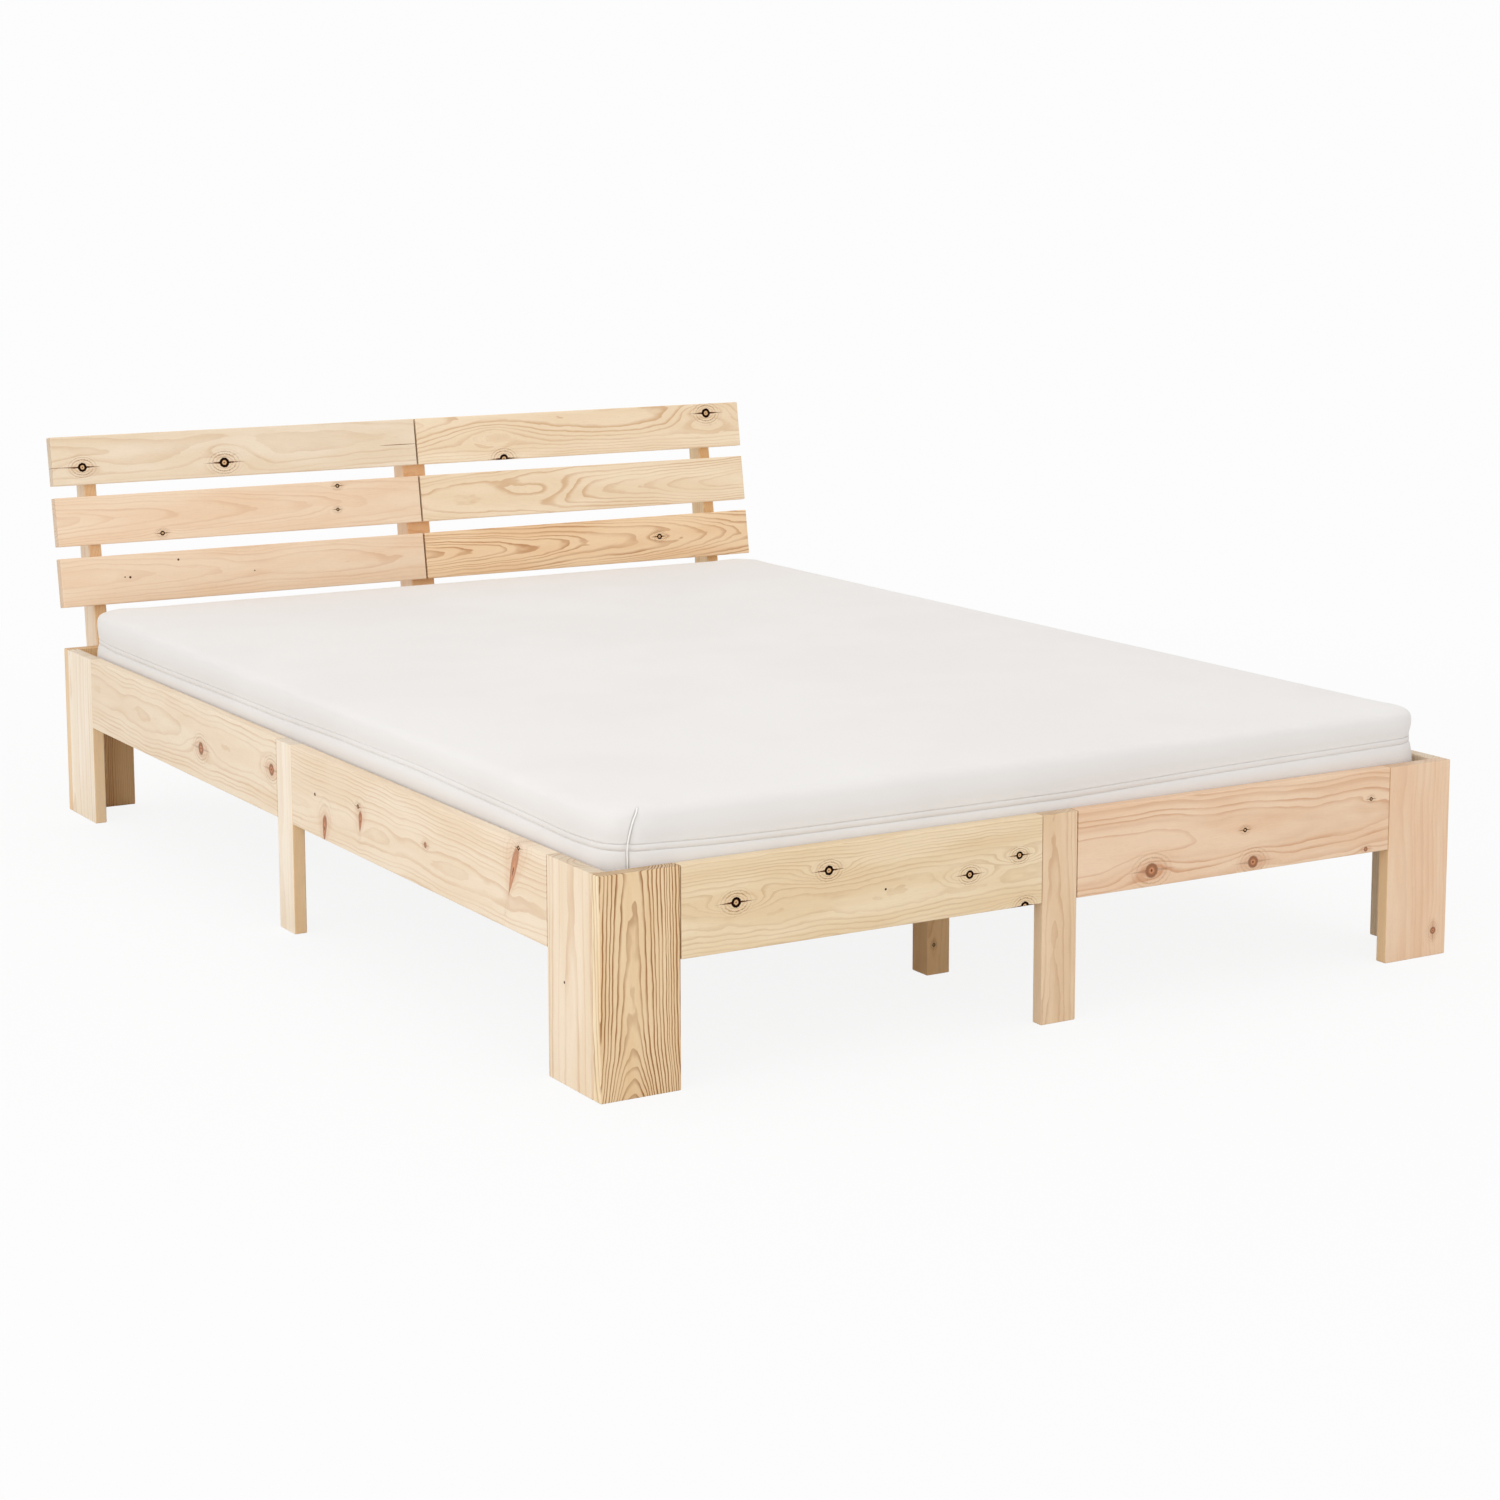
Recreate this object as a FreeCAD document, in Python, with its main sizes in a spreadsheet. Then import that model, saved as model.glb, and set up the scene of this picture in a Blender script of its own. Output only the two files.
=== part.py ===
import FreeCAD, Part
import math
import os

import Sketcher

# A low pine double bed: L-shaped corner legs, rails butted between them, a leaning
# slatted headboard on three posts, a roll-out slatted base and a foam mattress.
# Millimetres. X runs across the bed, Y from foot to head, Z up from the floor.
# The origin is the middle of the floor area that the whole bed covers.

Vector = FreeCAD.Vector
Rotation = FreeCAD.Rotation

SIZES = {
    # Mattress, which sets the width and the length of the bed
    "mattress_width": 1400,
    "mattress_length": 2000,
    "mattress_height": 134,
    "mattress_crown": 5,
    "mattress_corner_radius": 58,
    "mattress_draw_in": 10,
    "mattress_side_clearance": 4,
    "mattress_foot_clearance": 1,
    "mattress_end_room": 38,
    "cover_thickness": 3,
    "core_clearance": 0.4,
    # Bed frame
    "frame_height": 300,
    "board_thickness": 21,
    "end_plank_width": 120,
    "side_plank_width": 125,
    "mid_leg_width": 60,
    "rail_height": 125,
    "board_edge_chamfer": 2,
    # Ledgers, centre beam and its legs
    "ledger_thickness": 27,
    "ledger_height": 43,
    "ledger_rise": 5,
    "beam_width": 40,
    "beam_height": 60,
    "lap_depth": 20,
    "lap_clearance": 0.3,
    "centre_leg_side": 40,
    "centre_leg_inset": 320,
    "tenon_side": 22,
    "tenon_length": 25,
    # Headboard
    "outer_post_width": 24,
    "centre_post_width": 48,
    "outer_post_inset": 75,
    "post_depth": 61,
    "post_set_down": 7,
    "front_lean_angle": 9.1,
    "rear_lean_angle": 5.4,
    "headboard_slat_width": 89,
    "headboard_slat_thickness": 21,
    "headboard_slat_gap": 22,
    "first_slat_rise": 73,
    "headboard_seam_gap": 3,
    # Roll-out slatted base
    "roll_slat_width": 70,
    "roll_slat_thickness": 18,
    "roll_slat_count": 13,
    "roll_end_margin": 28,
    "tape_width": 25,
    "tape_thickness": 1.6,
    "tape_inset": 190,
    "seat_clearance": 0.3,
    # Loose tongues in the butt joints
    "tongue_thickness": 6,
    "tongue_depth": 18,
    "tongue_margin": 17.5,
    "corner_tongue_depth": 12,
    "corner_tongue_margin": 40,
    "tongue_clearance": 0.1,
    # Headboard slat screws, driven from behind
    "slat_screw_radius": 2.5,
    "slat_screw_bite": 15,
    "slat_screw_head_radius": 4.5,
    "slat_screw_head_height": 3,
    "slat_screw_seat": 30,
    "slat_screw_counterbore_radius": 5.5,
    "fastener_clearance": 0.1,
    # Headboard bolts and nuts
    "bolt_radius": 3,
    "bolt_spare": 2,
    "bolt_clearance": 0.3,
    "bolt_head_width": 10,
    "bolt_head_height": 4,
    "bolt_grip": 40,
    "bolt_counterbore_radius": 7,
    "nut_height": 5,
    "bolt_drop": 21,
    "bolt_spacing": 36,
    # One overrun for every through cut
    "overrun": 5,
}

# The mattress side from its underside up: share of the height, share of the draw-in.
# The zip line, drawn in most, is where the lower and the upper lobe of the cover meet.
MATTRESS_SIDE_SHARES = (
    (0.00, 1.30),
    (0.06, 0.36),
    (0.20, 0.00),
    (0.48, 0.06),
    (0.55, 0.46),
    (0.59, 1.00),
    (0.63, 0.46),
    (0.72, 0.04),
    (0.86, 0.08),
    (0.95, 0.50),
    (1.00, 1.60),
)
# The crown of the top: share of the half width drawn in, share of the crown's rise
MATTRESS_CROWN_SHARES = (
    (0.15, 0.50),
    (0.55, 1.00),
)

SHEET = "Sizes"
ENDS = ("foot", "head")
SIDES = ("left", "right")
AXES = {"x": Vector(1, 0, 0), "y": Vector(0, 1, 0), "z": Vector(0, 0, 1)}
PLANES = {"x": "YZ_Plane", "y": "XZ_Plane", "z": "XY_Plane"}

doc = FreeCAD.newDocument("pine_bed")
sub_parts = []


class Measure:
    """A size with the formula that the document keeps for it."""

    def __init__(self, value, text):
        self.value = value
        self.text = text

    def __add__(self, other):
        other = measure(other)
        return Measure(self.value + other.value, f"({self.text} + {other.text})")

    def __sub__(self, other):
        other = measure(other)
        return Measure(self.value - other.value, f"({self.text} - {other.text})")

    def __mul__(self, other):
        other = measure(other)
        return Measure(self.value * other.value, f"({self.text} * {other.text})")

    def __truediv__(self, other):
        other = measure(other)
        return Measure(self.value / other.value, f"({self.text} / {other.text})")

    def __neg__(self):
        return Measure(-self.value, f"(-{self.text})")


def measure(value):
    """A plain number or a measure, as a measure."""
    if isinstance(value, Measure):
        return value
    return Measure(value, f"({value})")


def turned(function, name, angle):
    """A trigonometric function of an angle in degrees."""
    return Measure(function(math.radians(angle.value)), f"{name}({angle.text} * 1 deg)")


def write_sheet():
    """Put every driving size into the sheet, one named cell each."""
    sheet = doc.addObject("Spreadsheet::Sheet", SHEET)
    for row, (name, value) in enumerate(SIZES.items(), start=1):
        sheet.set(f"A{row}", name)
        sheet.set(f"B{row}", str(value))
        sheet.setAlias(f"B{row}", name)
    doc.recompute()


def size(name):
    """The named size as the document holds it."""
    return Measure(float(SIZES[name]), f"{SHEET}.{name}")


def bind(item, path, value):
    """Tie a property to a formula over the sheet."""
    item.setExpression(path, measure(value).text)


def put(item, place):
    """Tie an object's place to formulas."""
    for axis, value in zip("xyz", place):
        bind(item, f"Placement.Base.{axis}", value)


# Sketches and features

def new_body(label):
    """A sub-part's own body."""
    body = doc.addObject("PartDesign::Body", label)
    body.Label = label
    return body


def new_sketch(body, axis, start=0):
    """A sketch square to an axis, at a distance along it from the body's origin."""
    sketch = body.newObject("Sketcher::SketchObject", "Section")
    plane = next(item for item in body.Origin.OriginFeatures if item.Role == PLANES[axis])
    sketch.AttachmentSupport = [(plane, "")]
    sketch.MapMode = "FlatFace"
    start = measure(start)
    bind(sketch, "AttachmentOffset.Base.z", -start if axis == "y" else start)
    return sketch


def dimension(sketch, constraint, value):
    """Add a constraint whose size follows a formula."""
    index = sketch.addConstraint(constraint)
    name = f"size{index}"
    sketch.renameConstraint(index, name)
    bind(sketch, f"Constraints.{name}", value)


def locate(sketch, geometry, point, place):
    """Fix a sketch point at a place measured from the sketch's origin."""
    for kind, line, value in zip(("DistanceX", "DistanceY"), (-2, -1), place):
        value = measure(value)
        if value.value == 0:
            sketch.addConstraint(Sketcher.Constraint("PointOnObject", geometry, point, line))
        else:
            constraint = Sketcher.Constraint(kind, -1, 1, geometry, point, value.value)
            dimension(sketch, constraint, value)


def closed_lines(sketch, places):
    """Straight lines from place to place and back to the first."""
    points = [Vector(measure(u).value, measure(v).value, 0) for u, v in places]
    for start, end in zip(points, points[1:] + points[:1]):
        sketch.addGeometry(Part.LineSegment(start, end))
    for index in range(len(points)):
        following = (index + 1) % len(points)
        sketch.addConstraint(Sketcher.Constraint("Coincident", index, 2, following, 1))


def draw_outline(sketch, places):
    """A closed outline with every corner at its own place."""
    closed_lines(sketch, places)
    for index, place in enumerate(places):
        locate(sketch, index, 1, place)


def draw_rectangle(sketch, wide, deep):
    """A rectangle from the sketch's origin."""
    closed_lines(sketch, ((0, 0), (wide, 0), (wide, deep), (0, deep)))
    for index, kind in enumerate(("Horizontal", "Vertical", "Horizontal", "Vertical")):
        sketch.addConstraint(Sketcher.Constraint(kind, index))
    sketch.addConstraint(Sketcher.Constraint("Coincident", 0, 1, -1, 1))
    dimension(sketch, Sketcher.Constraint("DistanceX", 0, 1, 0, 2, wide.value), wide)
    dimension(sketch, Sketcher.Constraint("DistanceY", 1, 1, 1, 2, deep.value), deep)


def draw_square(sketch, centre, side):
    """A square round a place."""
    u, v = (measure(value) for value in centre)
    half = side / 2
    draw_outline(sketch, (
        (u - half, v - half),
        (u + half, v - half),
        (u + half, v + half),
        (u - half, v + half),
    ))


def draw_circles(sketch, places, radius):
    """Circles of one radius."""
    for u, v in places:
        centre = Vector(measure(u).value, measure(v).value, 0)
        index = sketch.addGeometry(Part.Circle(centre, AXES["z"], radius.value))
        locate(sketch, index, 3, (u, v))
        dimension(sketch, Sketcher.Constraint("Radius", index, radius.value), radius)


def add_pad(body, sketch, length, centred=False):
    """Extrude a sketch."""
    pad = body.newObject("PartDesign::Pad", "Pad")
    pad.Profile = sketch
    pad.Midplane = centred
    bind(pad, "Length", length)
    doc.recompute()
    return pad


def add_pocket(body, sketch, depth, forward):
    """Cut a sketch into the body, and make sure that it cuts."""
    before = body.Shape.Volume
    pocket = body.newObject("PartDesign::Pocket", "Pocket")
    pocket.Profile = sketch
    pocket.Reversed = forward
    bind(pocket, "Length", depth)
    doc.recompute()
    if not body.Shape.Volume < before:
        raise ValueError(f"{body.Label}: a pocket cuts nothing")


def bore(body, axis, start, direction, places, radius, depth):
    """Round holes along an axis, from a plane across it, towards + or -."""
    sketch = new_sketch(body, axis, start)
    draw_circles(sketch, places, radius)
    forward = direction > 0 if axis != "y" else direction < 0
    add_pocket(body, sketch, depth, forward)


def edges_of(body, test):
    """Names of the edges of a body that pass a test."""
    edges = body.Tip.Shape.Edges
    return [f"Edge{number}" for number, edge in enumerate(edges, start=1) if test(edge)]


def runs_along(edge, axis):
    """True for a straight edge parallel to an axis."""
    if not isinstance(edge.Curve, Part.Line):
        return False
    return abs(edge.Curve.Direction.dot(AXES[axis])) > 0.999


def lies_at(edge, axis, level):
    """True for an edge that lies in one plane across an axis."""
    tolerance = 1e-4
    return all(abs(vertex.Point.dot(AXES[axis]) - level) < tolerance for vertex in edge.Vertexes)


def chamfer(body, test):
    """Break the edges that pass a test."""
    edges = edges_of(body, test)
    base = body.Tip
    feature = body.newObject("PartDesign::Chamfer", "Chamfer")
    feature.Base = (base, edges)
    bind(feature, "Size", size("board_edge_chamfer"))
    doc.recompute()


def block(label, extents, corner):
    """A squared piece of timber, with its lowest corner at a place."""
    body = new_body(label)
    sketch = new_sketch(body, "z")
    draw_rectangle(sketch, extents[0], extents[1])
    add_pad(body, sketch, extents[2])
    put(body, corner)
    sub_parts.append(body)
    return body


def board_along(grain, label, extents, corner):
    """A board whose long edges, along the grain, are broken."""
    body = block(label, extents, corner)
    chamfer(body, lambda edge: runs_along(edge, grain))
    return body


def leg_board(label, extents, corner):
    """A standing board, broken along its edges and round its foot and top."""
    body = block(label, extents, corner)
    chamfer(body, lambda edge: True)
    return body


def group(label, items):
    """Several separate solids that share one name."""
    compound = doc.addObject("Part::Compound", label)
    compound.Label = label
    compound.Links = items
    sub_parts.append(compound)


def copies(label, pattern, placings):
    """Copies of one fastener, each with a place and a direction."""
    links = []
    for place, direction in placings:
        link = doc.addObject("App::Link", f"{label}_copy")
        link.LinkedObject = pattern
        link.Placement = FreeCAD.Placement(Vector(), Rotation(AXES["z"], direction))
        put(link, place)
        links.append(link)
    group(label, links)
    return links


write_sheet()

# Places that several pieces share

board = size("board_thickness")
ledger = size("ledger_thickness")
frame_top = size("frame_height")
rail_bottom = frame_top - size("rail_height")
lean = size("front_lean_angle")
lean_sine = turned(math.sin, "sin", lean)
lean_cosine = turned(math.cos, "cos", lean)
front_slope = turned(math.tan, "tan", lean)
rear_slope = turned(math.tan, "tan", size("rear_lean_angle"))
bed_width = size("mattress_width") + (size("mattress_side_clearance") + board) * 2
bed_length = size("mattress_length") + size("mattress_end_room") + board * 2
slat_pitch = size("headboard_slat_width") + size("headboard_slat_gap")
slat_rises = [size("first_slat_rise") + slat_pitch * row for row in range(3)]
slope_length = slat_rises[-1] + size("headboard_slat_width") - size("post_set_down")
post_rise = slope_length * lean_cosine
post_overhang = size("post_depth") + post_rise * rear_slope

right_face = bed_width / 2
left_face = -right_face
foot_face = -(bed_length + post_overhang) / 2
head_face = foot_face + bed_length
inner_left = left_face + board
inner_foot = foot_face + board
inner_head = head_face - board
inner_width = bed_width - board * 2
inner_length = bed_length - board * 2
middle_y = foot_face + bed_length / 2

half_mid_leg = size("mid_leg_width") / 2
corner_reach = board + size("side_plank_width")
side_rail_length = bed_length / 2 - corner_reach - half_mid_leg
end_rail_length = bed_width / 2 - size("end_plank_width") - half_mid_leg

ledger_bottom = rail_bottom + size("ledger_rise")
ledger_top = ledger_bottom + size("ledger_height")
lap_bottom = ledger_top - size("lap_depth")
roll_bottom = ledger_top + size("seat_clearance")
roll_top = roll_bottom + size("roll_slat_thickness")

rail_tongue_bottom = rail_bottom + size("tongue_margin")
rail_tongue_height = size("rail_height") - size("tongue_margin") * 2
corner_tongue_bottom = size("corner_tongue_margin")
corner_tongue_height = frame_top - size("corner_tongue_margin") * 2
slat_screw_hole = size("slat_screw_radius") + size("fastener_clearance")
bolt_hole = size("bolt_radius") + size("bolt_clearance")
upper_bolt_height = frame_top - size("bolt_drop")
bolt_heights = (upper_bolt_height - size("bolt_spacing"), upper_bolt_height)
outer_post_x = right_face - size("outer_post_inset")
centre_screw_x = size("centre_post_width") / 4


def side_x(side, wide):
    """Lowest X of a board that lies flush with one side of the bed."""
    return left_face if side == "left" else right_face - wide


def end_y(end, deep):
    """Lowest Y of a board that lies flush with the foot or head face."""
    return foot_face if end == "foot" else head_face - deep


def outward(name):
    """-1 towards the left or the foot, +1 towards the right or the head."""
    return -1 if name in ("left", "foot") else 1


def near_and_far(length):
    """The two ends of a board, each with the direction into the wood."""
    return ((0, 1), (length, -1))


def slot(body, axis, face, into, across, bottom, tall, depth):
    """A stopped slot for a loose tongue, square to an axis, in the edge or face of a board."""
    sketch = new_sketch(body, axis, face)
    half = size("tongue_thickness") / 2 + size("tongue_clearance")
    low = bottom - size("tongue_clearance")
    high = bottom + tall + size("tongue_clearance")
    draw_outline(sketch, (
        (across - half, low),
        (across + half, low),
        (across + half, high),
        (across - half, high),
    ))
    forward = into > 0 if axis != "y" else into < 0
    add_pocket(body, sketch, depth + size("tongue_clearance"), forward)


def rail_slot(body, axis, face, into, corner_z):
    """The slot of a joint between a rail and a leg, in the middle of the board's edge."""
    slot(body, axis, face, into, board / 2, rail_tongue_bottom - corner_z,
         rail_tongue_height, size("tongue_depth"))


def corner_slot(body, face, into, across, depth):
    """The slot of the joint between the two boards of a corner leg."""
    slot(body, "y", face, into, across, corner_tongue_bottom, corner_tongue_height, depth)


def bore_bolts(body, corner, bolt_x):
    """Through holes for the two bolts of a headboard post."""
    places = [(bolt_x - corner[0], height - corner[2]) for height in bolt_heights]
    bore(body, "y", board, -1, places, bolt_hole, board)


# Corner legs, each an end plank that covers the end of a side plank

def make_end_plank(end, side):
    """The wide board of a corner leg that shows on the foot or head face."""
    wide = size("end_plank_width")
    corner = (side_x(side, wide), end_y(end, board), measure(0))
    body = leg_board(f"corner_leg_{end}_{side}_end_plank", (wide, board, frame_top), corner)
    rail_edge, inwards = (wide, -1) if side == "left" else (0, 1)
    rail_slot(body, "x", rail_edge, inwards, corner[2])
    face, into = (board, -1) if end == "foot" else (0, 1)
    across = board / 2 if side == "left" else wide - board / 2
    corner_slot(body, face, into, across, size("corner_tongue_depth"))
    if end == "head":
        bore_bolts(body, corner, outer_post_x * outward(side))


def make_side_plank(end, side):
    """The wide board of a corner leg that shows on the bed's side."""
    deep = size("side_plank_width")
    low_y = inner_foot if end == "foot" else inner_head - deep
    corner = (side_x(side, board), low_y, measure(0))
    body = leg_board(f"corner_leg_{end}_{side}_side_plank", (board, deep, frame_top), corner)
    joints = near_and_far(deep)
    corner_joint, rail_joint = joints if end == "foot" else reversed(joints)
    rail_slot(body, "y", *rail_joint, corner[2])
    corner_slot(body, *corner_joint, board / 2, size("tongue_depth"))


# Middle legs, standing between the two rails of each side

def make_side_mid_leg(side):
    """The middle leg of a long side."""
    wide = size("mid_leg_width")
    corner = (side_x(side, board), middle_y - half_mid_leg, measure(0))
    body = leg_board(f"mid_leg_{side}", (board, wide, frame_top), corner)
    for face, into in near_and_far(wide):
        rail_slot(body, "y", face, into, corner[2])


def make_end_mid_leg(end):
    """The middle leg of the foot or the head end."""
    wide = size("mid_leg_width")
    corner = (-half_mid_leg, end_y(end, board), measure(0))
    body = leg_board(f"mid_leg_{end}", (wide, board, frame_top), corner)
    for face, into in near_and_far(wide):
        rail_slot(body, "x", face, into, corner[2])
    if end == "head":
        bore_bolts(body, corner, measure(0))


# Rails, butted between the legs

def make_side_rail(end, side):
    """One of the two rails of a long side."""
    low_y = foot_face + corner_reach if end == "foot" else middle_y + half_mid_leg
    corner = (side_x(side, board), low_y, rail_bottom)
    extents = (board, side_rail_length, size("rail_height"))
    body = board_along("y", f"side_rail_{side}_{end}", extents, corner)
    for face, into in near_and_far(side_rail_length):
        rail_slot(body, "y", face, into, rail_bottom)


def make_end_rail(end, side):
    """One of the two rails of the foot or the head end."""
    low_x = left_face + size("end_plank_width") if side == "left" else half_mid_leg
    corner = (low_x, end_y(end, board), rail_bottom)
    extents = (end_rail_length, board, size("rail_height"))
    body = board_along("x", f"{end}_rail_{side}", extents, corner)
    for face, into in near_and_far(end_rail_length):
        rail_slot(body, "x", face, into, rail_bottom)


# Ledgers, glued to the inner faces of the boards, which they tie together

def make_side_ledger(side):
    """The batten along a long side that carries the slatted base."""
    low_x = inner_left if side == "left" else right_face - board - ledger
    corner = (low_x, inner_foot + ledger, ledger_bottom)
    extents = (ledger, inner_length - ledger * 2, size("ledger_height"))
    board_along("y", f"ledger_{side}", extents, corner)


def make_end_ledger(end):
    """The batten across one end, notched for the tongue of the centre beam."""
    corner = (inner_left, inner_foot if end == "foot" else inner_head - ledger, ledger_bottom)
    extents = (inner_width, ledger, size("ledger_height"))
    body = board_along("x", f"ledger_{end}", extents, corner)
    notch = new_sketch(body, "y", 0)
    half_notch = size("beam_width") / 2 + size("lap_clearance")
    low = lap_bottom - ledger_bottom
    high = size("ledger_height") + size("overrun")
    middle = inner_width / 2
    draw_outline(notch, (
        (middle - half_notch, low),
        (middle + half_notch, low),
        (middle + half_notch, high),
        (middle - half_notch, high),
    ))
    add_pocket(body, notch, ledger, False)


# Centre beam and its legs

def make_centre_beam():
    """The beam under the slats, its ends lapped into the end ledgers."""
    body = new_body("centre_beam")
    sketch = new_sketch(body, "x")
    clearance = size("lap_clearance")
    tongue = ledger - clearance
    length = inner_length - ledger * 2
    shoulder = size("beam_height") - size("lap_depth") + clearance
    draw_outline(sketch, (
        (0, 0),
        (length, 0),
        (length, shoulder),
        (length + tongue, shoulder),
        (length + tongue, size("beam_height")),
        (-tongue, size("beam_height")),
        (-tongue, shoulder),
        (0, shoulder),
    ))
    add_pad(body, sketch, size("beam_width"), centred=True)
    chamfer(body, lambda edge: runs_along(edge, "y") and lies_at(edge, "z", 0))
    corner = (measure(0), inner_foot + ledger, ledger_top - size("beam_height"))
    put(body, corner)
    sub_parts.append(body)
    for leg_y in centre_leg_places().values():
        mortise = new_sketch(body, "z")
        draw_square(mortise, (0, leg_y - corner[1]), size("tenon_side") + clearance * 2)
        add_pocket(body, mortise, size("tenon_length") + clearance, True)


def centre_leg_places():
    """Y of the axis of each centre leg."""
    inset = size("centre_leg_inset")
    return {"foot": foot_face + inset, "head": head_face - inset}


def make_centre_legs():
    """Square legs under the beam, each held by a stub tenon."""
    side = size("centre_leg_side")
    height = ledger_top - size("beam_height")
    for end, leg_y in centre_leg_places().items():
        corner = (-side / 2, leg_y - side / 2, measure(0))
        body = leg_board(f"centre_leg_{end}", (side, side, height), corner)
        tenon = new_sketch(body, "z", height)
        draw_square(tenon, (side / 2, side / 2), size("tenon_side"))
        add_pad(body, tenon, size("tenon_length"))


# Headboard

def slat_screw_rises():
    """Distance up the posts' front face of the screws, one at the middle of each slat."""
    return [rise + size("headboard_slat_width") / 2 for rise in slat_rises]


def leaning_sketch(body, depth):
    """A sketch parallel to the posts' front face, at a depth behind it."""
    sketch = new_sketch(body, "y")
    sketch.AttachmentOffset = FreeCAD.Placement(Vector(), Rotation(AXES["x"], -lean.value))
    bind(sketch, "AttachmentOffset.Rotation.Angle", -lean)
    bind(sketch, "AttachmentOffset.Base.y", frame_top - depth * lean_sine)
    bind(sketch, "AttachmentOffset.Base.z", -depth * lean_cosine)
    return sketch


def make_post(name, post_x, wide, screw_columns):
    """A post sawn from one board: plumb on the rail, leaning back and thinner above it."""
    body = new_body(f"headboard_post_{name}")
    sketch = new_sketch(body, "x")
    depth = size("post_depth")
    draw_outline(sketch, (
        (0, ledger_bottom),
        (depth - (frame_top - ledger_bottom) * rear_slope, ledger_bottom),
        (depth + post_rise * rear_slope, frame_top + post_rise),
        (post_rise * front_slope, frame_top + post_rise),
        (0, frame_top),
    ))
    add_pad(body, sketch, wide, centred=True)
    half = wide.value / 2
    chamfer(body, lambda edge: lies_at(edge, "x", half) or lies_at(edge, "x", -half))
    put(body, (post_x, head_face, measure(0)))
    sub_parts.append(body)

    places = [(0, height) for height in bolt_heights]
    through = depth + size("overrun")
    bore(body, "y", 0, 1, places, bolt_hole, through)
    bore(body, "y", size("bolt_grip"), 1, places, size("bolt_counterbore_radius"), through)

    places = [(column, rise) for column in screw_columns for rise in slat_screw_rises()]
    front = leaning_sketch(body, measure(0))
    draw_circles(front, places, slat_screw_hole)
    add_pocket(body, front, through, False)
    seat = leaning_sketch(body, size("slat_screw_seat"))
    draw_circles(seat, places, size("slat_screw_counterbore_radius"))
    add_pocket(body, seat, through, False)


def post_screw_columns():
    """X and width of each post, and the columns of slat screws in it."""
    return {
        "left": (-outer_post_x, size("outer_post_width"), [measure(0)]),
        "centre": (measure(0), size("centre_post_width"), [-centre_screw_x, centre_screw_x]),
        "right": (outer_post_x, size("outer_post_width"), [measure(0)]),
    }


def make_headboard_slat(row, side):
    """One of the six slats, lying on the leaning front faces of two posts."""
    length = (bed_width - size("headboard_seam_gap")) / 2
    thick = size("headboard_slat_thickness")
    wide = size("headboard_slat_width")
    low_x = left_face if side == "left" else size("headboard_seam_gap") / 2
    name = ("lower", "middle", "upper")[row]
    rise = slat_rises[row]
    corner = (
        low_x,
        head_face + rise * lean_sine - thick * lean_cosine,
        frame_top + rise * lean_cosine + thick * lean_sine,
    )
    body = board_along("x", f"headboard_slat_{name}_{side}", (length, thick, wide), corner)
    body.Placement = FreeCAD.Placement(Vector(), Rotation(AXES["x"], -lean.value))
    bind(body, "Placement.Rotation.Angle", -lean)
    put(body, corner)

    outer = outer_post_x * outward(side) - low_x
    inner = centre_screw_x * outward(side) - low_x
    bite = size("slat_screw_bite") + size("fastener_clearance")
    bore(body, "y", thick, -1, [(outer, wide / 2), (inner, wide / 2)], slat_screw_hole, bite)


# Roll-out slatted base

def make_roll_slats():
    """Planed slats across the bed, evenly spaced from foot to head."""
    length = size("mattress_width")
    wide = size("roll_slat_width")
    first = inner_foot + size("roll_end_margin")
    last = inner_head - size("roll_end_margin") - wide
    count = SIZES["roll_slat_count"]
    for number in range(count):
        share = number / (count - 1)
        corner = (-length / 2, first + (last - first) * share, roll_bottom)
        extents = (length, wide, size("roll_slat_thickness"))
        board_along("x", f"base_slat_{number + 1:02d}", extents, corner)


def make_tapes():
    """Two textile tapes under the slats, which keep them apart when it is unrolled."""
    first = inner_foot + size("roll_end_margin")
    length = inner_length - size("roll_end_margin") * 2
    wide = size("tape_width")
    centre = inner_width / 2 - size("tape_inset")
    tapes = []
    for side in SIDES:
        tape = doc.addObject("Part::Box", f"tape_{side}")
        bind(tape, "Length", wide)
        bind(tape, "Width", length)
        bind(tape, "Height", size("tape_thickness"))
        put(tape, (centre * outward(side) - wide / 2, first, roll_bottom - size("tape_thickness")))
        tapes.append(tape)
    group("base_tapes", tapes)


# Mattress, a soft form: two lobes of cover round a foam core

def rounded_rectangle(half_width, half_length, radius, height):
    """A level wire of four lines and four quarter arcs."""
    edges = []
    slant = radius * math.sqrt(0.5)
    for turn in range(4):
        spin = Rotation(AXES["z"], 90 * turn)
        half_x, half_y = (half_width, half_length) if turn % 2 == 0 else (half_length, half_width)
        centre = Vector(half_x - radius, half_y - radius, height)
        start = spin.multVec(centre + Vector(radius, 0, 0))
        middle = spin.multVec(centre + Vector(slant, slant, 0))
        end = spin.multVec(centre + Vector(0, radius, 0))
        next_corner = Vector(-(half_x - radius), half_y, height)
        edges.append(Part.Arc(start, middle, end).toShape())
        edges.append(Part.LineSegment(end, spin.multVec(next_corner)).toShape())
    return Part.Wire(edges)


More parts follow.
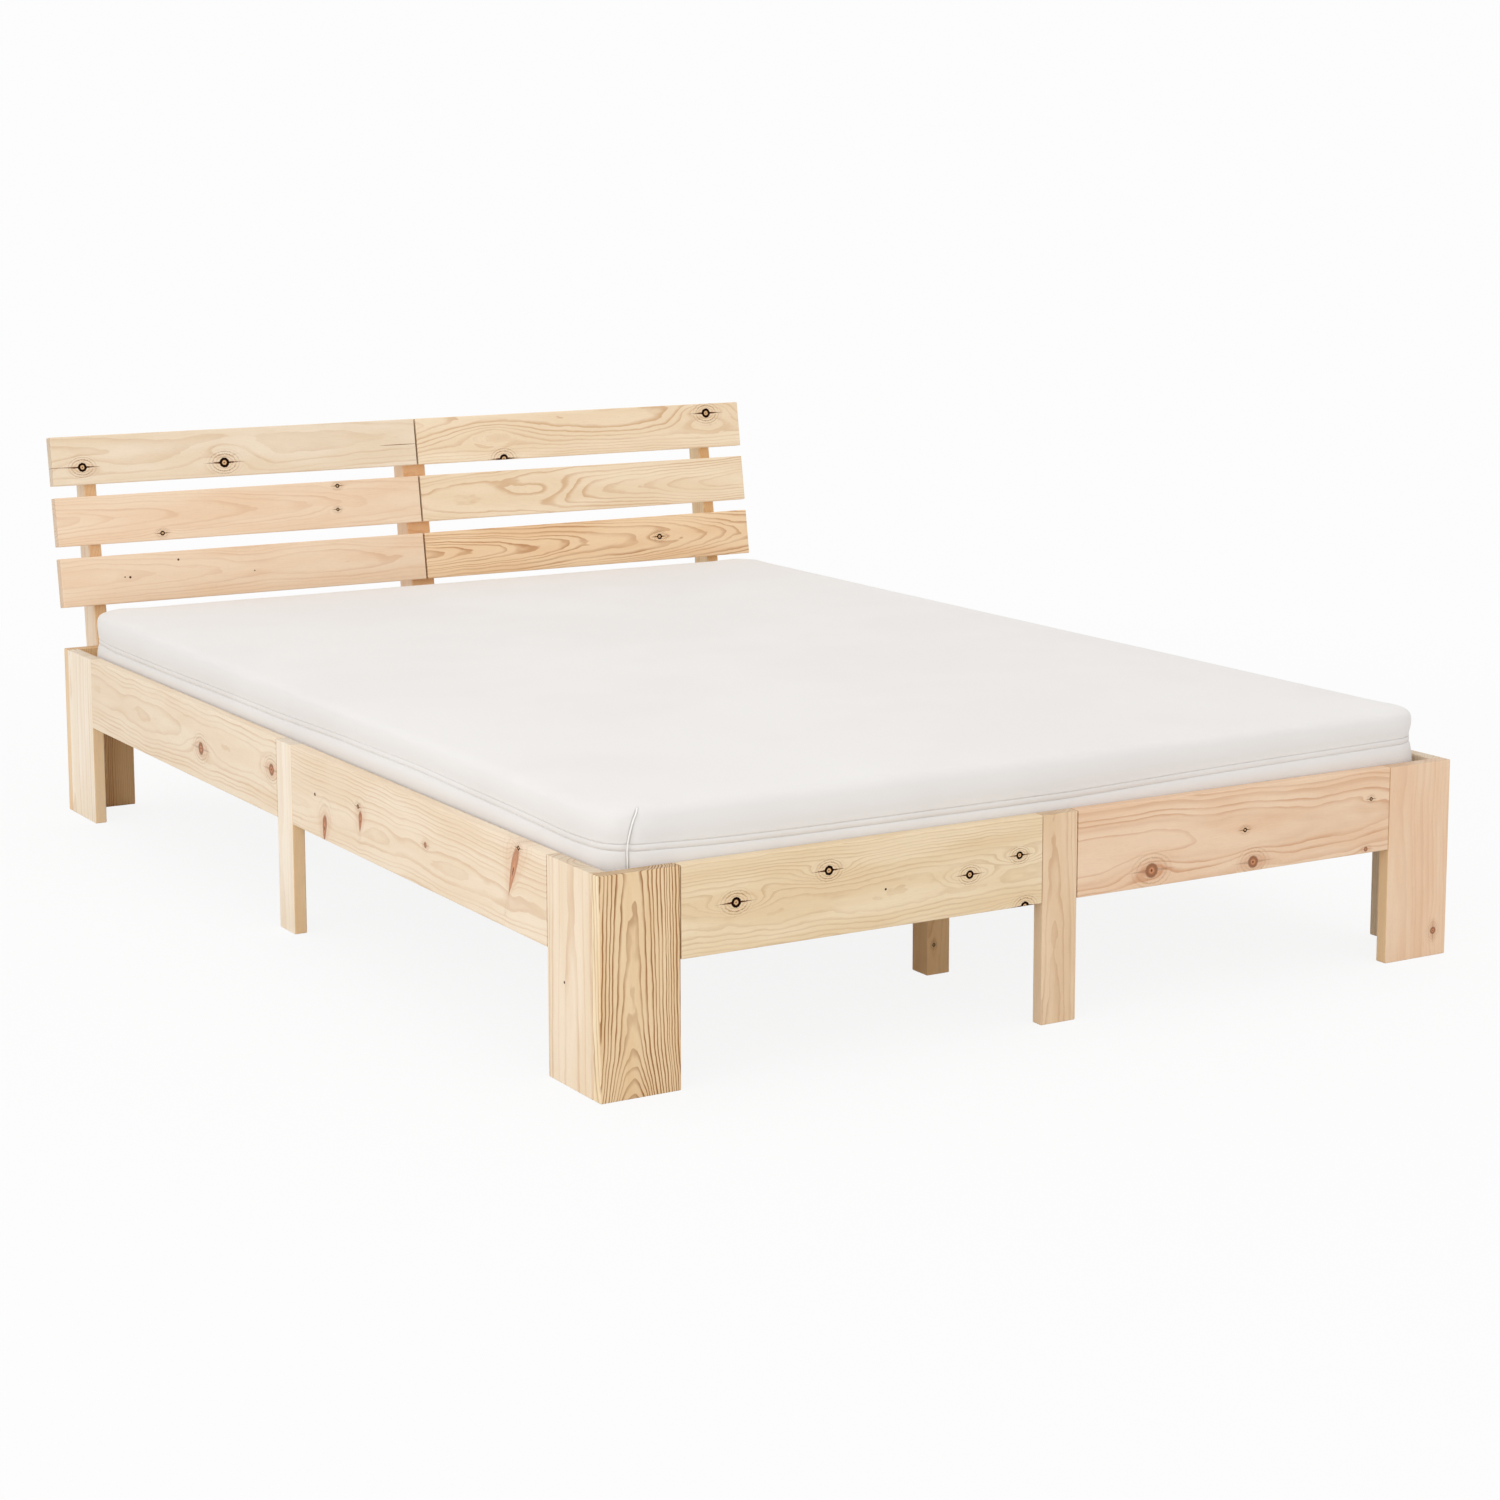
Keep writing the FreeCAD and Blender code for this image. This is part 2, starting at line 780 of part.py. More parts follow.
def mattress_form():
    """The mattress's outer form: two lobes, drawn in at the zip line, and a crowned top."""
    half_width = SIZES["mattress_width"] / 2
    half_length = SIZES["mattress_length"] / 2
    radius = SIZES["mattress_corner_radius"]
    height = SIZES["mattress_height"]
    wires = []
    for height_share, draw_share in MATTRESS_SIDE_SHARES:
        drawn = SIZES["mattress_draw_in"] * draw_share
        wires.append(rounded_rectangle(half_width - drawn, half_length - drawn, radius - drawn,
                                       height * height_share))
    for inward_share, rise_share in MATTRESS_CROWN_SHARES:
        drawn = half_width * inward_share
        wires.append(rounded_rectangle(half_width - drawn, half_length - drawn,
                                       radius * (1 - inward_share),
                                       height + SIZES["mattress_crown"] * rise_share))
    return Part.makeLoft(wires, True, True)


def core_block(clearance):
    """The foam block inside the cover's padded border, grown by a clearance."""
    panel = SIZES["cover_thickness"] - clearance
    border = SIZES["mattress_draw_in"] + panel
    outline = rounded_rectangle(SIZES["mattress_width"] / 2 - border,
                                SIZES["mattress_length"] / 2 - border,
                                SIZES["mattress_corner_radius"] - border, panel)
    return Part.Face(outline).extrude(Vector(0, 0, SIZES["mattress_height"] - 2 * panel))


def add_form(label, shape):
    """A soft form, placed on the slatted base."""
    item = doc.addObject("Part::Feature", label)
    item.Label = label
    item.Shape = shape
    centre_y = (inner_foot + size("mattress_foot_clearance") + size("mattress_length") / 2).value
    item.Placement = FreeCAD.Placement(
        Vector(0, centre_y, (roll_top + size("seat_clearance")).value), Rotation())
    sub_parts.append(item)


def make_mattress():
    """The zipped cover, hollow, and the foam block that fills it."""
    clearance = SIZES["core_clearance"]
    add_form("mattress_cover", mattress_form().cut(core_block(clearance)))
    add_form("mattress_core", core_block(0))


# Loose tongues

def tongue(axis, middle, bottom, spans, tall):
    """A flat tongue across a seam: its middle, and its reach on each side along an axis."""
    box = doc.addObject("Part::Box", "tongue")
    behind, ahead = spans
    thick = size("tongue_thickness")
    place = list(middle) + [bottom]
    along = "xy".index(axis)
    place[along] = place[along] - behind
    place[1 - along] = place[1 - along] - thick / 2
    bind(box, "Length" if axis == "x" else "Width", behind + ahead)
    bind(box, "Width" if axis == "x" else "Length", thick)
    bind(box, "Height", tall)
    put(box, place)
    return box


def make_tongues():
    """The tongues of every butt joint of the frame."""
    reach = size("tongue_depth")
    rail_spans = (reach, reach)
    tall = rail_tongue_height
    tongues = []
    for side in SIDES:
        x = (right_face - board / 2) * outward(side)
        for y in (foot_face + corner_reach, middle_y - half_mid_leg,
                  middle_y + half_mid_leg, head_face - corner_reach):
            tongues.append(tongue("y", (x, y), rail_tongue_bottom, rail_spans, tall))
        shallow = size("corner_tongue_depth")
        for y, spans in ((inner_foot, (shallow, reach)), (inner_head, (reach, shallow))):
            tongues.append(tongue("y", (x, y), corner_tongue_bottom, spans,
                                  corner_tongue_height))
    for end in ENDS:
        y = end_y(end, board) + board / 2
        for x in (left_face + size("end_plank_width"), -half_mid_leg,
                  half_mid_leg, right_face - size("end_plank_width")):
            tongues.append(tongue("x", (x, y), rail_tongue_bottom, rail_spans, tall))
    group("joint_tongues", tongues)


# Fasteners

def turned_fastener(label, points):
    """A fastener turned from its half outline: radius and distance along its axis."""
    body = new_body(label)
    sketch = new_sketch(body, "y")
    draw_outline(sketch, points)
    turning = body.newObject("PartDesign::Revolution", "Turning")
    turning.Profile = sketch
    turning.ReferenceAxis = (sketch, ["V_Axis"])
    doc.recompute()
    return body


def make_slat_screws():
    """Screws through the posts into the back of each headboard slat."""
    length = size("slat_screw_seat") + size("slat_screw_bite")
    screw = turned_fastener("slat_screw", (
        (0, -size("slat_screw_head_height")),
        (size("slat_screw_head_radius"), -size("slat_screw_head_height")),
        (size("slat_screw_head_radius"), 0),
        (size("slat_screw_radius"), 0),
        (size("slat_screw_radius"), length),
        (0, length),
    ))
    seat = size("slat_screw_seat")
    placings = []
    for post_x, _, columns in post_screw_columns().values():
        for column in columns:
            for rise in slat_screw_rises():
                place = (
                    post_x + column,
                    head_face + rise * lean_sine + seat * lean_cosine,
                    frame_top + rise * lean_cosine - seat * lean_sine,
                )
                placings.append((place, AXES["x"]))
    for link in copies("headboard_slat_screws", screw, placings):
        link.Placement.Rotation = Rotation(AXES["x"], 90 - lean.value)
        bind(link, "Placement.Rotation.Angle", measure(90) - lean)


def hexagon(across):
    """Corners of a hexagon, from its width across flats."""
    reach = across / math.sqrt(3)
    corners = [(math.cos(math.radians(60 * k)), math.sin(math.radians(60 * k))) for k in range(6)]
    return [(reach * round(u, 12), reach * round(v, 12)) for u, v in corners]


def make_bolts():
    """Hexagon bolts and nuts that hold the posts to the head end."""
    bolt = new_body("post_bolt")
    head = new_sketch(bolt, "z", -size("bolt_head_height"))
    draw_outline(head, hexagon(size("bolt_head_width")))
    add_pad(bolt, head, size("bolt_head_height"))
    shank = new_sketch(bolt, "z")
    draw_circles(shank, [(0, 0)], size("bolt_radius"))
    add_pad(bolt, shank, size("bolt_grip") + board + size("nut_height") + size("bolt_spare"))
    nut = new_body("post_nut")
    flats = new_sketch(nut, "z")
    draw_outline(flats, hexagon(size("bolt_head_width")))
    draw_circles(flats, [(0, 0)], size("bolt_radius") + size("fastener_clearance"))
    add_pad(nut, flats, size("nut_height"))

    forward = -AXES["y"]
    seat = head_face + size("bolt_grip")
    places = [(post_x, height) for post_x, _, _ in post_screw_columns().values()
              for height in bolt_heights]
    copies("headboard_bolts", bolt, [((x, seat, z), forward) for x, z in places])
    copies("headboard_nuts", nut, [((x, inner_head, z), forward) for x, z in places])


def make_bed():
    """Every sub-part, from the frame to the fasteners."""
    for end in ENDS:
        for side in SIDES:
            make_end_plank(end, side)
            make_side_plank(end, side)
            make_side_rail(end, side)
            make_end_rail(end, side)
        make_end_mid_leg(end)
        make_end_ledger(end)
    for side in SIDES:
        make_side_mid_leg(side)
        make_side_ledger(side)
    make_centre_beam()
    make_centre_legs()
    for name, (post_x, wide, columns) in post_screw_columns().items():
        make_post(name, post_x, wide, columns)
    for row in range(len(slat_rises)):
        for side in SIDES:
            make_headboard_slat(row, side)
    make_roll_slats()
    make_tapes()
    make_mattress()
    make_tongues()
    make_slat_screws()
    make_bolts()
    doc.recompute()


def check_document():
    """Stop before anything is written if an object failed or a shape is unsound."""
    for item in doc.Objects:
        if any(word in item.State for word in ("Invalid", "Error")):
            raise ValueError(f"{item.Label} failed: {item.State}")
    for item in sub_parts:
        shape = item.Shape
        if shape.isNull() or not shape.isValid() or not shape.Solids:
            raise ValueError(f"{item.Label} has no sound solid")


def export_parts():
    """Write each sub-part to a file of its own name."""
    os.makedirs("parts", exist_ok=True)
    for item in sub_parts:
        item.Shape.exportStep(f"parts/{item.Label}.step")


make_bed()
check_document()
export_parts()
print(f"{len(sub_parts)} sub-parts, {sum(len(item.Shape.Solids) for item in sub_parts)} solids")
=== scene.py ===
"""The looks of a low pine bed: planed boards with their grain and knots, a slatted base and a mattress."""

import math

import bmesh
import bpy
import numpy as np
from mathutils import Matrix, Vector, noise


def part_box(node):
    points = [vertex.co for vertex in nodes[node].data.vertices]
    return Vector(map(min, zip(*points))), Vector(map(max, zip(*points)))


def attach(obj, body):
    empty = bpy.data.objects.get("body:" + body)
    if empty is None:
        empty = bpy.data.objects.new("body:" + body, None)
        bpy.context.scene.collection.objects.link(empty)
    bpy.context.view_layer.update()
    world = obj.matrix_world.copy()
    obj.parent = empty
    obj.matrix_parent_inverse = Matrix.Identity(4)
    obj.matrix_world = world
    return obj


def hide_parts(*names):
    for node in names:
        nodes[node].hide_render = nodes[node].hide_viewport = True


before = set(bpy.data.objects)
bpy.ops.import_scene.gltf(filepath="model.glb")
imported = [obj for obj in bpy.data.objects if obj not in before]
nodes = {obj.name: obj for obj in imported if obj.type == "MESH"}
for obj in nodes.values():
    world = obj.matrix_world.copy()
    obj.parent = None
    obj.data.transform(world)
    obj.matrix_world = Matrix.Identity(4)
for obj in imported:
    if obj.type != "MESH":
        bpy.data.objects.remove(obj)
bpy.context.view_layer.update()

# The scene is in metres. Shaders and the tables of boards and knots are in millimetres
MM = 0.001

# The camera that was fitted to the bed's edges in the photograph: lens and principal point in the photograph's
# pixels, angles in degrees, sensor in millimetres
PICTURE_WIDE = 1500
LENS_PIXELS = 3157.0
PRINCIPAL_ACROSS = 785.3
PRINCIPAL_DOWN = 600.0
CAMERA_PLACE = (-2.5536, -4.5531, 1.2415)
CAMERA_TURN = 31.293
CAMERA_DOWN = 8.525
SENSOR = 36.0

# Headboard: its lean in degrees, and its slats' section
HEADBOARD_LEAN = 9.1
SLAT_WIDE = 89 * MM
BOARD_THICK = 21 * MM

# What shows of the centre legs, below the beam
CENTRE_LEG_SHOWN = 163 * MM

# Broken edges of the boards
LONG_EDGE = 1.8 * MM
LEG_END_EDGE = 1.6 * MM
RAIL_END_EDGE = 1.0 * MM

# Boards meet with this much air at each side of a joint: legs are this much narrower, rails this much shorter
JOINT_AIR = 0.5 * MM

# Mattress: how far its side is drawn in at the zip, the radius of its corners, and how its top is crowned: the
# rise, and how far in from the edge it is reached, as a share of the half width
DRAW_IN = 10 * MM
CORNER_RADIUS = 58 * MM
CROWN = 5 * MM
CROWN_REACH = 0.35


def srgb(red, green, blue):
    """A colour as it looks on a screen, 0 to 255, as the linear colour that shaders take."""
    def linear(value):
        share = value / 255
        return share / 12.92 if share <= 0.04045 else ((share + 0.055) / 1.055) ** 2.4
    return (linear(red), linear(green), linear(blue), 1.0)


class Graph:
    """Short calls that add shader nodes to a tree and link them."""

    def __init__(self, tree):
        self.tree = tree

    def feed(self, socket, value):
        if isinstance(value, bpy.types.NodeSocket):
            self.tree.links.new(value, socket)
        else:
            socket.default_value = value

    def node(self, kind, inputs=(), **settings):
        made = self.tree.nodes.new(kind)
        for name, value in settings.items():
            setattr(made, name, value)
        for key, value in dict(inputs).items():
            self.feed(made.inputs[key], value)
        return made

    def math(self, operation, *values):
        return self.node("ShaderNodeMath", enumerate(values), operation=operation).outputs[0]

    def add(self, total, *others):
        for value in others:
            total = self.math("ADD", total, value)
        return total

    def mul(self, total, *others):
        for value in others:
            total = self.math("MULTIPLY", total, value)
        return total

    def sub(self, a, b):
        return self.math("SUBTRACT", a, b)

    def div(self, a, b):
        return self.math("DIVIDE", a, b)

    def group(self, tree, inputs):
        """The outputs of a node group."""
        return self.node("ShaderNodeGroup", inputs, node_tree=tree).outputs

    def vector(self, operation, *values):
        made = self.node("ShaderNodeVectorMath", enumerate(values), operation=operation)
        return next(s for s in made.outputs if s.enabled)

    def split(self, vector):
        return self.node("ShaderNodeSeparateXYZ", {0: vector}).outputs

    def join(self, x, y, z):
        return self.node("ShaderNodeCombineXYZ", {0: x, 1: y, 2: z}).outputs[0]

    def step(self, value, low, high, start=0.0, end=1.0):
        """A smooth step from start to end as the value goes from low to high."""
        made = self.node("ShaderNodeMapRange", {0: value, 1: low, 2: high, 3: start, 4: end},
                         interpolation_type="SMOOTHSTEP")
        return made.outputs[0]

    def mix(self, share, first, second, blend="MIX"):
        made = self.node("ShaderNodeMix", data_type="RGBA", blend_type=blend, clamp_factor=True)
        self.feed(made.inputs[0], share)
        self.feed(made.inputs[6], first)
        self.feed(made.inputs[7], second)
        return made.outputs[2]

    def noise(self, vector, detail, scale=1.0, rough=0.5, output=0):
        made = self.node("ShaderNodeTexNoise",
                         {"Vector": vector, "Scale": scale, "Detail": detail, "Roughness": rough},
                         noise_dimensions="3D")
        return made.outputs[output]

    def wander(self, vector, detail):
        """Two noise patterns about zero."""
        pattern = self.noise(vector, detail, output="Color")
        return self.split(self.vector("SUBTRACT", pattern, (0.5, 0.5, 0.5)))[1:]


def node_group(name, inputs, outputs):
    """A new node group with sockets of each kind, and the graph, inputs and output node to fill it."""
    tree = bpy.data.node_groups.new(name, "ShaderNodeTree")
    for side, kinds in (("INPUT", inputs), ("OUTPUT", outputs)):
        for kind, labels in kinds.items():
            for label in labels:
                tree.interface.new_socket(label, in_out=side, socket_type=kind)
    graph = Graph(tree)
    return graph, tree.nodes.new("NodeGroupInput").outputs, tree.nodes.new("NodeGroupOutput").inputs


FLOAT, VECTOR, COLOUR = "NodeSocketFloat", "NodeSocketVector", "NodeSocketColor"

# Timber shaders. Board coordinates are in millimetres: X along the grain, Y across, Z out of the face

# The pine's patterns: length and width in millimetres. For fibres and flecks, length and number in a millimetre
DRIFT_LONG = 190.0
WOBBLES = (42.0, 15.0)
PATCHES = (120.0, 30.0)
BLOTCHES = (230.0, 34.0)
FIBRES = (26.0, 1.5)
FLECKS = (9.0, 2.3)

# How far the pith line wobbles, and drifts for each unit of sway, across the board and out of it
WOBBLE = 3.2
DRIFT_ACROSS, DRIFT_OUT = 3.0, 2.4

# The radius over which the rings' spacing changes, and by how many rings
SPACING_RADIUS = 11.0
SPACING_RINGS = 2.2

# Late wood within each ring: where it sets in, and where it breaks off
LATE_START = (0.48, 0.92)
LATE_END = (0.94, 1.0)

# The rings bow by their whole amount this far below the middle of an upright board, and not at all above it
BOW_FULL = -150.0

# A face becomes an end or an edge as this part of its normal grows. Rings show more on ends and less on edges
TURNED = (0.55, 0.85)
TURNED_CONTRAST = 0.7

# The weakest ring, and how much fibre, flecks and end grain darken the wood
WEAKEST_RING = 0.45
FIBRE_TONE, FLECK_TONE, END_TONE = 0.20, 0.08, 0.17


def make_pine_group():
    """Growth rings about a pith line that wanders beside the board, with fibre, blotches, end grain, and a tint on
    the edges that is partly painted shade.

    Fade weakens the rings where the saw ran along them.
    """
    g, given, out = node_group("pine_rings", {
        VECTOR: ("Place", "Normal", "Edge tone and shade"), COLOUR: ("Early", "Blotch", "Late"),
        FLOAT: ("Seed", "Ring", "Pith across", "Pith behind", "Tilt", "Bow", "Sway", "Contrast", "Fade"),
    }, {COLOUR: ("Colour",), FLOAT: ("Height",)})
    x, y, z = g.split(given["Place"])
    seed = given["Seed"]

    def spread(long, wide):
        return g.join(g.div(x, long), g.add(g.div(y, wide), seed), g.div(z, wide))

    def streaks(long, number):
        return g.join(g.div(x, long), g.mul(y, number), g.mul(z, number))

    drift_across, drift_out = g.wander(g.join(g.div(x, DRIFT_LONG), seed, g.mul(seed, 1.7)), 1.5)
    wobble_across, wobble_out = g.wander(spread(*WOBBLES), 2.0)
    sway = given["Sway"]
    across = g.add(g.sub(y, given["Pith across"]), g.mul(drift_across, sway, DRIFT_ACROSS),
                   g.mul(wobble_across, WOBBLE))
    low_end = g.math("POWER", g.math("MAXIMUM", g.div(x, BOW_FULL), 0.0), 3.0)
    depth = g.add(z, given["Pith behind"], g.mul(x, given["Tilt"]), g.mul(given["Bow"], low_end),
                  g.mul(drift_out, sway, DRIFT_OUT), g.mul(wobble_out, WOBBLE))
    radius = g.vector("LENGTH", g.join(0.0, across, depth))
    spacing = g.noise(g.join(g.div(radius, SPACING_RADIUS), seed, 0.0), detail=1.0)
    count = g.add(g.div(radius, given["Ring"]), g.mul(spacing, SPACING_RINGS))
    share = g.math("FRACT", count)
    ring_id = g.math("FLOOR", count)
    late = g.mul(g.step(share, *LATE_START), g.step(share, *LATE_END, 1.0, 0.0))
    strength = g.node("ShaderNodeTexWhiteNoise", {"W": g.add(ring_id, seed)}, noise_dimensions="1D").outputs[0]
    strength = g.add(g.mul(strength, 1 - WEAKEST_RING), WEAKEST_RING)
    patch = g.noise(spread(*PATCHES), detail=1.0)
    strength = g.mul(strength, g.step(patch, 0.30, 0.62, 0.45, 1.0))
    flat = g.math("POWER", g.math("ABSOLUTE", g.div(depth, radius)), 3.0)
    late = g.mul(late, strength, g.sub(1.0, g.mul(flat, given["Fade"])))
    fibre = g.noise(streaks(*FIBRES), detail=3.0, rough=0.65)
    flecks = g.noise(streaks(*FLECKS), detail=0.0)
    blotch = g.noise(spread(*BLOTCHES), detail=2.0)
    facing = g.split(g.vector("ABSOLUTE", given["Normal"]))
    ends, sides = g.step(facing[0], *TURNED), g.step(facing[1], *TURNED)
    colour = g.mix(g.step(blotch, 0.32, 0.68), given["Early"], given["Blotch"])
    contrast = g.mul(given["Contrast"], g.add(1.0, g.mul(g.sub(ends, sides), TURNED_CONTRAST)))
    colour = g.mix(g.mul(late, contrast), colour, given["Late"])
    tone = g.add(g.mul(fibre, FIBRE_TONE), 1 - FIBRE_TONE / 2)
    tone = g.sub(tone, g.mul(g.step(flecks, 0.66, 0.80), FLECK_TONE))
    tone = g.mul(tone, g.sub(1.0, g.mul(ends, END_TONE)))
    # The edge faces are tinted: partly their own tone, partly painted shade where an edge lies in shadow
    tone = g.vector("MULTIPLY", g.join(tone, tone, tone), g.mix(sides, (1, 1, 1, 1), given["Edge tone and shade"]))
    colour = g.mix(1.0, colour, tone, blend="MULTIPLY")
    g.feed(out["Colour"], colour)
    g.feed(out["Height"], g.add(g.mul(late, 0.5), g.mul(fibre, 0.5)))
    return g.tree


# Colours of a knot as they look on the screen: lines and centre of its heart, dead bark, tails and ripples
HEART_LINES = srgb(120, 74, 46)
HEART_CENTRE = srgb(72, 40, 26)
DEAD_BARK = srgb(30, 14, 10)
TAIL_COLOUR = srgb(94, 56, 32)
RIPPLE_COLOUR = srgb(150, 104, 66)

# A knot's lengths are shares of its radius. The tails reach out this far, and are this high at the knot
TAIL_REACH = 5.5
TAIL_HIGH = 0.38


def make_flow_group():
    """Bends board coordinates round a knot: the grain flows past it, and the rings bulge out along its branch."""
    g, given, out = node_group("grain_round_knot", {
        VECTOR: ("Place", "Knot"), FLOAT: ("Radius", "Long", "Lift")}, {VECTOR: ("Place",)})
    away = g.vector("SUBTRACT", given["Place"], given["Knot"])
    x, y, _ = g.split(away)
    along = g.div(g.div(x, given["Long"]), given["Radius"])
    across = g.div(y, given["Radius"])
    square = g.add(g.mul(along, along), g.mul(across, across))
    push = g.div(-1.0, g.math("MAXIMUM", square, 1.0))
    bulge = g.math("EXPONENT", g.mul(g.add(g.mul(along, along, 0.35), g.mul(across, across)), -0.30))
    lift = g.mul(bulge, given["Radius"], given["Lift"])
    g.feed(out["Place"], g.vector("ADD", given["Place"], g.join(0.0, g.mul(y, push), lift)))
    return g.tree


def make_knot_group():
    """Paints a knot: its rings and heart, a dark rim where the branch was dead, and the tails in line."""
    g, given, out = node_group("knot", {
        VECTOR: ("Place", "Knot"), COLOUR: ("Colour", "Heart"),
        FLOAT: ("Radius", "Tall", "Rim", "Tail", "Halo", "Lean", "Taper", "Ripple"),
    }, {COLOUR: ("Colour",)})
    place, radius = given["Place"], given["Radius"]
    away = g.vector("SUBTRACT", place, given["Knot"])
    ragged = g.noise(place, detail=2.0, scale=0.45)
    x, y, _ = g.split(away)
    across = g.div(g.div(y, given["Tall"]), radius)
    width = g.add(1.0, g.mul(given["Taper"], g.math("MINIMUM", g.math("MAXIMUM", across, -1.0), 1.0)))
    along = g.div(g.div(g.sub(x, g.mul(y, given["Lean"])), radius), width)
    distance = g.vector("LENGTH", g.join(along, across, 0.0))
    distance = g.add(distance, g.mul(g.sub(ragged, 0.5), 0.30))
    inside = g.step(distance, 0.93, 1.07, 1.0, 0.0)
    rings = g.math("SINE", g.mul(distance, 17.0))
    heart = g.mix(g.add(0.10, g.mul(rings, 0.10)), given["Heart"], HEART_LINES)
    centre = g.step(distance, 0.12, 0.26, 0.80, 0.0)
    heart = g.mix(centre, heart, HEART_CENTRE)
    rim = g.mul(g.step(distance, 0.46, 0.58), g.step(distance, 1.06, 1.18, 1.0, 0.0))
    halo_distance = g.vector("LENGTH", g.join(g.div(along, 2.3), across, 0.0))
    halo = g.mul(g.step(halo_distance, 0.8, 1.9, 1.0, 0.0), given["Halo"])
    colour = g.mix(halo, given["Colour"], g.mix(0.5, given["Heart"], given["Colour"]))
    ripple_distance = g.vector("LENGTH", g.join(g.div(along, 1.45), across, 0.0))
    ripple_distance = g.add(ripple_distance, g.mul(g.sub(ragged, 0.5), 0.5))
    ripple = g.mul(g.step(g.math("SINE", g.mul(ripple_distance, 11.0)), 0.1, 0.95),
                   g.step(ripple_distance, 1.1, 1.5), g.step(ripple_distance, 1.6, 3.4, 1.0, 0.0),
                   g.add(0.25, g.math("ABSOLUTE", g.div(across, g.add(ripple_distance, 0.1)))))
    colour = g.mix(g.mul(ripple, given["Ripple"]), colour, RIPPLE_COLOUR)
    reach = g.math("ABSOLUTE", along)
    narrowing = g.sub(1.0, g.div(reach, TAIL_REACH))
    tail_edge = g.mul(narrowing, narrowing, TAIL_HIGH)
    tail_off = g.math("ABSOLUTE", g.add(across, g.mul(g.sub(ragged, 0.5), 0.30)))
    tail = g.step(g.sub(tail_edge, tail_off), -0.05, 0.06)
    tail = g.mul(tail, given["Tail"], g.step(narrowing, 0.0, 0.25))
    colour = g.mix(tail, colour, TAIL_COLOUR)
    colour = g.mix(inside, colour, heart)
    colour = g.mix(g.mul(rim, given["Rim"]), colour, DEAD_BARK)
    g.feed(out["Colour"], colour)
    return g.tree


# Jersey, per millimetre: the knit's turn in radians, and the scales of its nap and its faint clouds
KNIT = 4.2
NAP_SCALE = 0.55
CLOUD_SCALE = 0.004


def make_cloth_group():
    """A fine jersey: a knitted rib, a soft nap and the slight unevenness of a washed cover."""
    g, given, out = node_group("jersey", {VECTOR: ("Place",), COLOUR: ("Light", "Shade")},
                               {COLOUR: ("Colour",), FLOAT: ("Height",)})
    place = given["Place"]
    x, y, z = g.split(place)
    knit = g.mul(g.math("SINE", g.mul(g.add(x, z), KNIT)), g.math("SINE", g.mul(g.add(y, z), KNIT)))
    nap = g.noise(place, detail=3.0, scale=NAP_SCALE, rough=0.7)
    cloud = g.noise(place, detail=2.0, scale=CLOUD_SCALE)
    height = g.add(g.mul(knit, 0.35), g.mul(nap, 0.65))
    colour = g.mix(g.step(cloud, 0.3, 0.7), given["Light"], given["Shade"])
    tone = g.add(g.mul(height, 0.035), 0.978)
    colour = g.mix(1.0, colour, g.join(tone, tone, tone), blend="MULTIPLY")
    g.feed(out["Colour"], colour)
    g.feed(out["Height"], height)
    return g.tree


PINE = make_pine_group()
FLOW = make_flow_group()
KNOT = make_knot_group()
JERSEY = make_cloth_group()

# Timber colours as they look on the screen: early wood, its darker blotches, late wood
TIMBERS = {
    "white": ((247, 234, 215), (243, 226, 202), (212, 176, 138)),
    "cream": ((240, 222, 197), (235, 213, 184), (203, 160, 116)),
    "flax": ((246, 225, 195), (240, 215, 181), (206, 160, 112)),
    "yellow": ((238, 217, 183), (231, 205, 166), (190, 146, 96)),
    "ochre": ((246, 215, 175), (240, 202, 159), (188, 130, 80)),
    "peach": ((243, 217, 188), (238, 207, 174), (208, 156, 112)),
    "pink": ((239, 209, 178), (233, 197, 163), (198, 138, 94)),
    "honey": ((237, 210, 170), (229, 195, 150), (158, 108, 60)),
    "tan": ((235, 207, 173), (227, 195, 158), (188, 140, 98)),
    "amber": ((241, 202, 152), (233, 189, 138), (186, 126, 76)),
}

# Pine's gloss, which cracks and dead knots lose as their green falls below this level, so that they stay dark
PINE_SPECULAR = 0.35
DULL_BELOW = 0.20

RED_HEART = srgb(204, 138, 96)
DEAD_HEART = srgb(226, 182, 130)

# Kinds of knot: height to width, dark rim, tails, halo, heart, lean and taper of its outline, ripples round it,
# then the length of the grain's bend and the rings' bulge. A swirl is grain alone, round a branch that ends inside
KNOT_KINDS = {
    "ring": ((1.0, 1.0, 1.0, 0.30, DEAD_HEART, 0.0, 0.0, 0.65), 2.2, 2.0),
    "red": ((1.0, 0.42, 0.30, 0.60, RED_HEART, 0.0, 0.0, 0.35), 1.9, 1.3),
    "dot": ((1.0, 0.9, 0.0, 0.0, srgb(110, 74, 52), 0.0, 0.0, 0.0), 1.0, 0.0),
    "spike": ((3.0, 0.30, 0.0, 0.45, RED_HEART, 0.12, 0.5, 0.15), 0.9, 0.2),
    "wedge": ((4.6, 0.16, 0.0, 0.40, srgb(212, 150, 110), 0.40, 0.7, 0.15), 0.8, 0.1),
    "check": ((0.016, 0.0, 0.0, 0.0, srgb(122, 80, 50), 0.0, 0.0, 0.0), 1.0, 0.0),
    "swirl": (None, 2.4, 0.9),
}
KNOT_SOCKETS = ("Tall", "Rim", "Tail", "Halo", "Heart", "Lean", "Taper", "Ripple")


def add_bump(g, shader, height, millimetres):
    """Fine relief from a height pattern."""
    bump = g.node("ShaderNodeBump", {"Height": height, "Distance": millimetres * MM, "Strength": 1.0})
    g.feed(shader.inputs["Normal"], bump.outputs["Normal"])


def new_material(name, plain):
    """A new node material: its graph and its Principled shader, with plain values on the shader's sockets."""
    made = bpy.data.materials.new(name)
    made.use_nodes = True
    shader = next(n for n in made.node_tree.nodes if n.type == "BSDF_PRINCIPLED")
    for key, value in plain.items():
        shader.inputs[key].default_value = value
    return made, Graph(made.node_tree), shader


